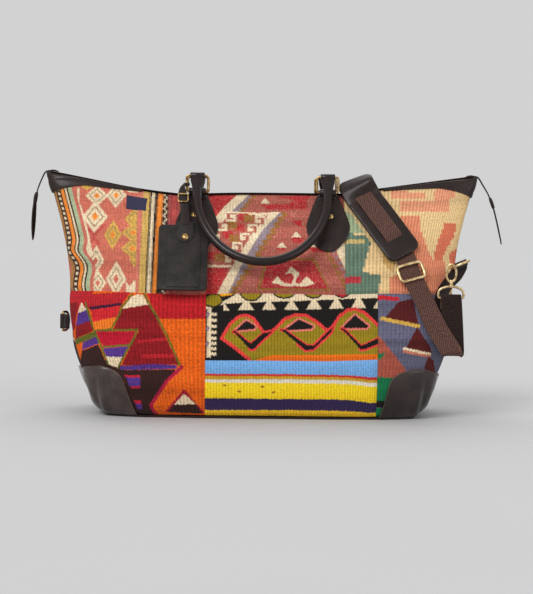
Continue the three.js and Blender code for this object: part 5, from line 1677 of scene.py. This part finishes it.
@dataclass
class ZipPull:
    """One zip slider and its leather pull: two thong strands, a knot and a pointed tab."""

    side: str
    body: Body
    slider: Body
    turn: float
    lean: float
    place: Array

    def leaned(self, rows: Array) -> Array:
        """Swings rows of points outward the lower they hang."""
        rows = rows.copy()
        rows[:, 0] += self.lean * ramp(-rows[:, 2], 10, 100)
        return rows

    def build(self) -> None:
        """Makes the slider's slim body and the pull."""
        side = self.place[:3, 1]
        body = plate("body", rounded(13, 7.6, 2.6), 1.1, 0.3, self.place @ placed((-3, 0, -1.8), rx=90))
        arch = np.array([(-8, 0, -1.8), (-6, 0, -1), (-3, 0, -0.8), (0, 0, -1), (2, 0, -1.8)])
        bridge = sweep("bridge", move(smooth_path(arch, 16), self.place), side, (0.8, 0.8), 0.9, 8)
        slider = together(f"{self.side}_slider", body, bridge)
        dress(slider, BLACKENED, self.slider, f"zip_slider_{self.side}")
        hang = ((1, -3), (5, -2.8), (9.5, -6), (13, -16), (16.5, -29), (17.6, -38))
        parts = []
        for y in (2.0, -2.0):
            lane = np.array([(x, y * (1 - max(-z - 3, 0) / 44), z) for x, z in hang])
            path = move(smooth_path(self.leaned(lane), 36), self.place)
            parts.append(sweep("strand", path, side, (0.9, 0.9), 0.9, 10))
        across = self.place[:3, :3] @ vec(math.sin(self.turn), math.cos(self.turn), 0)
        knot = ((17.4, 0, -35, 1.4, 1.3), (18, 0, -38, 2.6, 2.3), (18.4, 0, -43, 3.0, 2.5),
                (18.6, 0, -49, 2.7, 2.3), (18.6, 0, -51, 2.2, 1.8))
        tab = ((18.6, 0, -50, 2.6, 1.2), (18.4, 0, -58, 3.3, 1.2), (17.8, 0, -70, 3.7, 1.2),
               (17, 0, -82, 3.4, 1.2), (16.2, 0, -92, 2.6, 1.1), (15.6, 0, -99, 1.6, 1.0),
               (15.4, 0, -103, 0.5, 0.8))
        for name, square, rows in (("knot", 0.8, knot), ("tab", 0.4, tab)):
            line = smooth_path(self.leaned(np.array(rows, float)), 36)
            parts.append(sweep(name, move(line[:, :3], self.place), across, line[:, 3:].T, square, 14))
        dress(together(f"{self.side}_zip_pull", *parts), LEATHER, self.body, f"zip_pull_{self.side}")


# Sizes of the strap's fittings in millimetres; the hook's middle lies above the strap's bar.
WIRE = 3.4
LOOP_WIDE = 38.0
LOOP_TALL = 17.0
HOOK_WIDE = 17.0
HOOK_TALL = 27.0
HOOK_MIDDLE = LOOP_TALL + 5 + HOOK_TALL / 2 - 2


@dataclass
class SnapHook:
    """Snap hook of the strap: loop, hook and gate, in its own place."""

    side: str
    hook_body: Body
    gate_body: Body
    loop_place: Array
    hook_place: Array
    gap: float = 5.2
    hinge: float = 4.3
    latch: float = 4.9

    def bent(self, name: str, low: float, high: float, count: int, half: float, around: int) -> Thing:
        """Bends wire of half a thickness round the hook's oval, from a low turn to a high one."""
        turn = np.linspace(low, high, count)
        path = np.stack(((HOOK_WIDE - WIRE) / 2 * np.cos(turn), np.zeros(count),
                         HOOK_MIDDLE + (HOOK_TALL - WIRE) / 2 * np.sin(turn)), -1)
        return sweep(name, move(path, self.hook_place), self.hook_place[:3, 1], (half, half), 0.85, around)

    def build(self) -> None:
        """Makes the loop, the hook and the gate, which has room to turn at its hinge."""
        loop = wire_ring("loop", dee(LOOP_WIDE, LOOP_TALL + WIRE / 2, WIRE), WIRE, self.loop_place)
        socket = lathe("socket", ((0, 0), (3.2, 0), (3.5, 0.6), (3.5, 3.2), (3.0, 4), (0, 4)),
                       self.loop_place @ placed((0, 0, 14)))
        dress(together(f"{self.side}_strap_loop", loop, socket), BRASS, Body.BAG, f"strap_loop_{self.side}")
        gap, hinge, latch = (math.asin(2 * rise / (HOOK_TALL - WIRE))
                             for rise in (self.gap, self.hinge, self.latch))
        bow = self.bent("bow", gap, 2 * math.pi - gap, 44, WIRE / 2, 14)
        stem = lathe("stem", ((0, 0), (2.4, 0), (2.4, 4.6), (1.8, 6), (0, 6)),
                     self.hook_place @ placed((0, 0, 18.4)))
        hook = together(f"{self.side}_snap_hook", bow, stem)
        dress(hook, BRASS, self.hook_body, f"snap_hook_{self.side}")
        gate = self.bent(f"{self.side}_hook_gate", -hinge, latch, 14, WIRE / 2 - 0.1, 12)
        dress(gate, BRASS, self.gate_body, f"hook_gate_{self.side}")


@dataclass(frozen=True)
class Stop:
    """A station of the strap: a point, the direction its face looks and how far it stands off."""

    at: Array
    face: Array
    out: float = 0.0


def on_wall(x: float, z: float, out: float, rear: bool = False) -> Stop:
    """Puts a strap station on the front or the rear."""
    return Stop(*WALL.on_face(x, z, rear=rear), out)


def wrap_bar(clip: Array, side: Array, tip: Array, bend: float, inward: bool) -> list[Stop]:
    """Turns the strap half round a clip's bar."""
    ways = [side * math.cos(a) + tip * math.sin(a) for a in np.linspace(0, math.pi, 5)]
    return [Stop(clip + way * bend, -way if inward else way) for way in ways]


def band(route: Sequence[Stop], lift: object, half: float) -> Array:
    """Gives a band's rows along a route, lifted off it: point, direction across and half width."""
    at = np.array([stop.at for stop in route])
    face = unit(np.array([stop.face for stop in route]))
    along = np.vstack((at[1:], at[-1:])) - np.vstack((at[:1], at[:-1]))
    off = np.array([stop.out for stop in route]) + np.asarray(lift)
    across = unit(np.cross(along, face))
    return np.hstack((at + face * off[:, None], across, np.full((len(route), 1), half)))


@dataclass
class ShoulderStrap:
    """Shoulder strap from the rear hook over the top to the right hook, with its pad and slider."""

    width: float = 28.0
    thick: float = 2.0
    right_clip: Array = field(default_factory=lambda: vec(257, -99, 168))
    rear_clip: Array = field(default_factory=lambda: vec(146, 126, 74))
    bend: float = 3.9
    cross: float = 135.0
    top: float = 329.0
    pad_wide: float = 50.0
    pad_corner: float = 11.0
    pad_lift: float = 5.8
    pad_half: float = 2.6
    frame_wire: float = 4.2
    frame_tall: float = 26.0

    def routes(self) -> tuple[list[Stop], list[Stop], list[Stop]]:
        """Gives the strap's stations behind the bag, under the pad and below it."""
        rear, right, b = self.rear_clip, self.right_clip, self.bend
        x, high = self.cross, WALL.height
        back = [Stop(rear + vec(0, -b, 16), vec(0, -1, 0)),
                *wrap_bar(rear, vec(0, -1, 0), vec(0, 0, -1), b, False),
                Stop(rear + vec(0, b, 16), vec(0, 1, 0)), Stop(rear + vec(0, b - 1, 34), vec(0, 1, 0.05)),
                *(on_wall(x + aside, high - down, out, True) for aside, down, out in (
                    (11, 168, 4), (12, 135, 3), (12, 102, 2.5), (11, 68, 2.5), (9, 34, 2.5), (5, 14, 4))),
                Stop(vec(x + 3, 28, self.top - 13), vec(0, 1, 0.4)),
                Stop(vec(x - 1, 18, self.top - 2), vec(0, 0.6, 1)),
                Stop(vec(x - 3, 1, self.top), vec(-0.2, 0, 1))]
        pad = [Stop(vec(x - 5, -14, self.top - 3), vec(-0.4, -0.5, 1)),
               Stop(vec(x - 1, -26, self.top - 13), vec(-0.3, -1, 0.5)),
               *(on_wall(x + 8 + 9 * i, high - 10 - 12.6 * i, 1) for i in range(7))]
        hang = [on_wall(x + 64, high - 97, 5), on_wall(x + 67, high - 109, 6),
                on_wall(x + 73, high - 122, 6), on_wall(x + 85, right[2] - 6, 5),
                *(Stop(right + vec(*step), vec(*face)) for step, face in (
                    ((-20, -9, -40), (0, -1, 0.05)), ((-3, -15, -67), (0, -1, 0.05)),
                    ((1, -14.5, -74.5), (0, -0.8, -0.6)), ((3, -10.5, -77.5), (0, 0, -1)),
                    ((4, -6.5, -74.5), (0, 0.8, -0.6)), ((4.4, -5.5, -67), (0, 1, 0)),
                    ((1.4, -b, -14), (0, 1, 0.1)))),
                *wrap_bar(right, vec(0, -1, 0), vec(0, 0, 1), b, True),
                Stop(right + vec(0, b, -16), vec(0, -1, 0))]
        return back, pad, hang

    def webbing(self) -> Thing:
        """Weaves the strap in one length, through the pad's slits."""
        back, pad, hang = self.routes()
        half = self.width / 2
        under, over = 1.8, 9.8
        lifts = (under, under - 0.9, over, over, over, over, over, under, under)
        rows = np.vstack((band(back, 0, half), band(pad, lifts, half - 1.5), band(hang, 0, half)))
        rows = smooth_path(rows, 420)
        size = (rows[:, 6], self.thick / 2)
        return sweep("strap_band", rows[:, :3], rows[:, 3:6], size, 0.3, 20, mapped=True)

    def pad(self) -> Thing:
        """Pads the leather shoulder piece."""
        _, route, _ = self.routes()
        rows = smooth_path(band(route, self.pad_lift, self.pad_wide / 2), 240)
        run = run_along(rows[:, :3])
        stops = run[-1] * (1 - np.cos(np.linspace(0, math.pi, 130))) / 2
        rows = np.stack([np.interp(stops, run, rows[:, k]) for k in range(7)], -1)
        end = np.minimum(stops, run[-1] - stops)
        r = self.pad_corner
        half = rows[:, 6] - r + np.sqrt(np.maximum(r * r - np.maximum(r - end, 0) ** 2, 0))
        size = (half, self.pad_half * (0.4 + 0.6 * ramp(end, 0, 3) ** 0.5))
        return sweep("shoulder_piece", rows[:, :3], rows[:, 3:6], size, 0.45, 40)

    def slider(self) -> Thing:
        """Makes the frame over the webbing and its bar behind it."""
        _, _, hang = self.routes()
        row = band(hang, 0, self.width / 2)[1]
        back, across = -unit(hang[1].face), -row[3:6]
        place = basis(across, back, np.cross(across, back), row[:3])
        side, lift = self.width / 2 + 2 + WIRE / 2, self.thick / 2 + 0.7
        frame_place = place @ placed((0, -lift - self.frame_wire / 2, 0))
        outline = rounded(2 * side, self.frame_tall - WIRE, 5.5)
        outer = wire_ring("frame", outline, self.frame_wire, frame_place, 14)
        span = np.array([(-side, -lift, 0), (-side + 0.6, lift, 0), (-side + 2, lift + 1, 0),
                         (0, lift + 1, 0), (side - 2, lift + 1, 0), (side - 0.6, lift, 0),
                         (side, -lift, 0)])
        bar = sweep("bar", smooth_path(move(span, place), 40), place[:3, 2], (1.7, 1.0), 0.6, 12)
        return together("strap_frame_slider", outer, bar)

    def build(self) -> None:
        """Makes the strap, its pad and its slider."""
        dress(self.webbing(), WEBBING, Body.BAG, "strap_webbing")
        pad = dress(self.pad(), LEATHER, Body.BAG, "shoulder_pad")
        dress(self.slider(), BRASS, Body.BAG, "strap_slider")


@dataclass
class SideFittings:
    """Side tabs, D-rings and snap hooks."""

    strap: ShoulderStrap
    tab: float = 20.0
    tab_thick: float = 3.0
    dee_wide: float = 29.0
    dee_tall: float = 24.0
    level: float = 128.0

    def tab_piece(self, side: str, stations: Sequence[tuple[Array, Array]], bar: Array, way: Array) -> None:
        """Makes a side tab rolled round the bar of its ring."""
        rows = smooth_path(np.array([np.hstack(station) for station in stations]), 60)
        strip = sweep("strip", rows[:, :3], rows[:, 3:], (self.tab / 2, self.tab_thick / 2), 0.35, 18)
        other = np.cross(way, vec(0.31, 0.7, 0.64))
        loop = rolled_loop("loop", self.tab, (WIRE / 2 + 0.7, WIRE / 2 + 2.6), (0.4, 0.5),
                           basis(np.cross(other, way), other, way, bar))
        dress(together(f"{side}_side_tab", strip, loop), LEATHER, Body.BAG, f"side_tab_{side}")

    def build(self) -> None:
        """Makes all side fittings."""
        clip = self.strap.right_clip
        seat = HOOK_MIDDLE + HOOK_TALL / 2 - WIRE * 1.5 - 1.6
        bow, way = unit(vec(-0.17, -1, 0)), unit(vec(0.9, -0.153, 0.4))
        right_bar = clip + vec(0, 0, seat) + way * (self.dee_wide - WIRE) / 2 - bow * 7.5
        SnapHook("right", Body.HOOK_RIGHT, Body.GATE_RIGHT, placed(clip), placed(clip, rz=-9)).build()
        rear = basis(vec(1, 0, 0), vec(0, -1, 0), vec(0, 0, -1), self.strap.rear_clip)
        SnapHook("rear", Body.HOOK_REAR, Body.GATE_REAR, rear, rear).build()
        outline = dee(self.dee_wide, self.dee_tall, WIRE)
        right_place = basis(way, np.cross(bow, way), bow, right_bar)
        dress(wire_ring("right_dee", outline, WIRE, right_place), BRASS, Body.BAG, "dee_ring_right")
        sx, sy = float(WALL.seam_x.at(self.level)), float(WALL.seam_y.at(self.level))
        seam, up = vec(-sx, -sy, self.level), vec(0, 0, 1)
        left_bar, left_bow = vec(-sx - 10, -sy + 8, self.level), unit(vec(0.3, 1, 0))
        left_place = basis(up, np.cross(left_bow, up), left_bow, left_bar)
        dress(wire_ring("left_dee", outline, WIRE, left_place), AGED_BRASS, Body.DEE_LEFT, "dee_ring_left")
        self.tab_piece("left", [(point, up) for point in (
            seam + vec(-0.2, -1.4, 0), seam + vec(-5, -2, 0), left_bar + vec(3, -6, 0),
            left_bar + vec(-0.5, -3.4, 0))], left_bar, up)
        wallward = vec(0.86, 0.51, 0)
        self.tab_piece("right", [
            *((WALL.on_face(x, z, out)[0], wallward) for x, z, out in (
                (248, 122, 2.8), (246, 142, 2.8), (243, 162, 3.2), (248, 179, 6))),
            (right_bar + vec(-5, 9, -15), vec(0.93, 0.1, 0.2)), (right_bar + vec(0, 4.4, -4), way),
            (right_bar + vec(-1, 3.4, 0.5), way)], right_bar, way)


@dataclass
class Studio:
    """Pale floor, soft lights and the camera at the photograph's angle."""

    image: tuple[int, int] = (533, 594)
    distance: float = 2.4
    azimuth: float = -1.055
    elevation: float = 2.0
    roll: float = 0.75
    focal_pixels: float = 0.706 * 2400
    target: tuple[float, float, float] = (0.008, 0.0, 0.1626)
    floor_size: float = 60.0
    fill: float = 0.5
    light: Colour = (244, 244, 246)
    backdrop: Colour = (210, 210, 210)

    def camera(self) -> None:
        """Sets the camera."""
        a, e, r = (math.radians(v) for v in (self.azimuth, self.elevation, self.roll))
        back = Vector((math.sin(a) * math.cos(e), -math.cos(a) * math.cos(e), math.sin(e)))
        right = Vector((math.cos(a), math.sin(a), 0))
        up = back.cross(right)
        x, y = right * math.cos(r) + up * math.sin(r), up * math.cos(r) - right * math.sin(r)
        data = bpy.data.cameras.new("photo_camera")
        data.sensor_width = 36.0
        data.lens = self.focal_pixels / max(self.image) * data.sensor_width
        data.clip_end = 100.0
        camera = bpy.data.objects.new("photo_camera", data)
        bpy.context.scene.collection.objects.link(camera)
        place = Matrix((x, y, back)).transposed().to_4x4()
        place.translation = Vector(self.target) + back * self.distance
        camera.matrix_world = place
        bpy.context.scene.camera = camera

    def lamp(self, name: str, way: Sequence[float], spread: float, power: float) -> None:
        """Hangs a distant soft lamp that shines along a direction."""
        data = bpy.data.lights.new(name, "SUN")
        data.angle = math.radians(spread)
        data.energy = power
        lamp = bpy.data.objects.new(name, data)
        bpy.context.scene.collection.objects.link(lamp)
        lamp.rotation_mode = "QUATERNION"
        lamp.rotation_quaternion = Vector(way).to_track_quat("-Z", "Y")

    def air(self) -> None:
        """Fills the studio with even light, and shows the camera and mirrors the backdrop's grey."""
        world = bpy.data.worlds.new("studio_air")
        desk = NodeDesk(world)
        fill = desk.nodes["Background"]
        desk.put(fill.inputs[0], rgba(self.light))
        desk.put(fill.inputs[1], self.fill)
        backdrop = desk.add("Background", {0: rgba(self.backdrop)})
        rays = desk.add("LightPath", {}).outputs
        shown = rays["Is Camera Ray"]
        for ray in ("Is Glossy Ray", "Is Transmission Ray"):
            shown = desk.math("MAXIMUM", shown, rays[ray])
        mixed = desk.add("MixShader", {0: shown, 1: fill.outputs[0], 2: backdrop.outputs[0]})
        desk.put(desk.nodes["World Output"].inputs[0], mixed.outputs[0])
        bpy.context.scene.world = world

    def build(self) -> None:
        """Sets up the studio."""
        self.camera()
        bpy.ops.mesh.primitive_plane_add(size=1.0)
        floor = active_mesh()
        floor.name = "studio_floor"
        in_edit(lambda: bpy.ops.transform.resize(value=(self.floor_size, self.floor_size, 1)))
        floor.data.materials.append(FLOOR_PAPER.material())
        for name, way, spread, power in (
                ("key_lamp", (0.5, 0.85, -0.75), 28, 1.5), ("fill_lamp", (-0.75, 0.8, -0.45), 50, 0.45),
                ("left_card", (0.75, 0.7, 0.04), 12, 0.4), ("right_card", (-0.75, 0.7, 0.04), 12, 0.4),
                ("back_lamp", (0.05, -0.75, -1.0), 60, 1.4)):
            self.lamp(name, way, spread, power)
        self.air()
        bpy.context.scene.view_settings.view_transform = "Standard"


def dress_solids() -> None:
    """Gives the base, which stays as packed, its leather."""
    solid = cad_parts["base_leather"]
    solid.data.materials.clear()
    solid.data.materials.append(LEATHER.material())


def main() -> None:
    """Dresses the bag and sets up its studio."""
    logging.basicConfig(level=logging.INFO)
    bpy.ops.object.select_all(action="DESELECT")
    Studio().build()
    strap = ShoulderStrap()
    strap.build()
    SideFittings(strap).build()
    ClothShell().build()
    LeatherTrim().build()
    CarryHandle("front", Body.FRONT_HANDLE, np.eye(4)).build()
    CarryHandle("rear", Body.REAR_HANDLE, HALF_TURN).build()
    LuggageTag().build()
    tip = placed((296, 0, 338.93), ry=-8.243)
    ZipTop().build()
    ZipPull("right", Body.PULL_RIGHT, Body.SLIDER_RIGHT, 0.15, 14.0, tip).build()
    ZipPull("left", Body.PULL_LEFT, Body.SLIDER_LEFT, 0.7, -3.0, HALF_TURN @ tip).build()
    dress_solids()


if __name__ == "__main__":
    main()
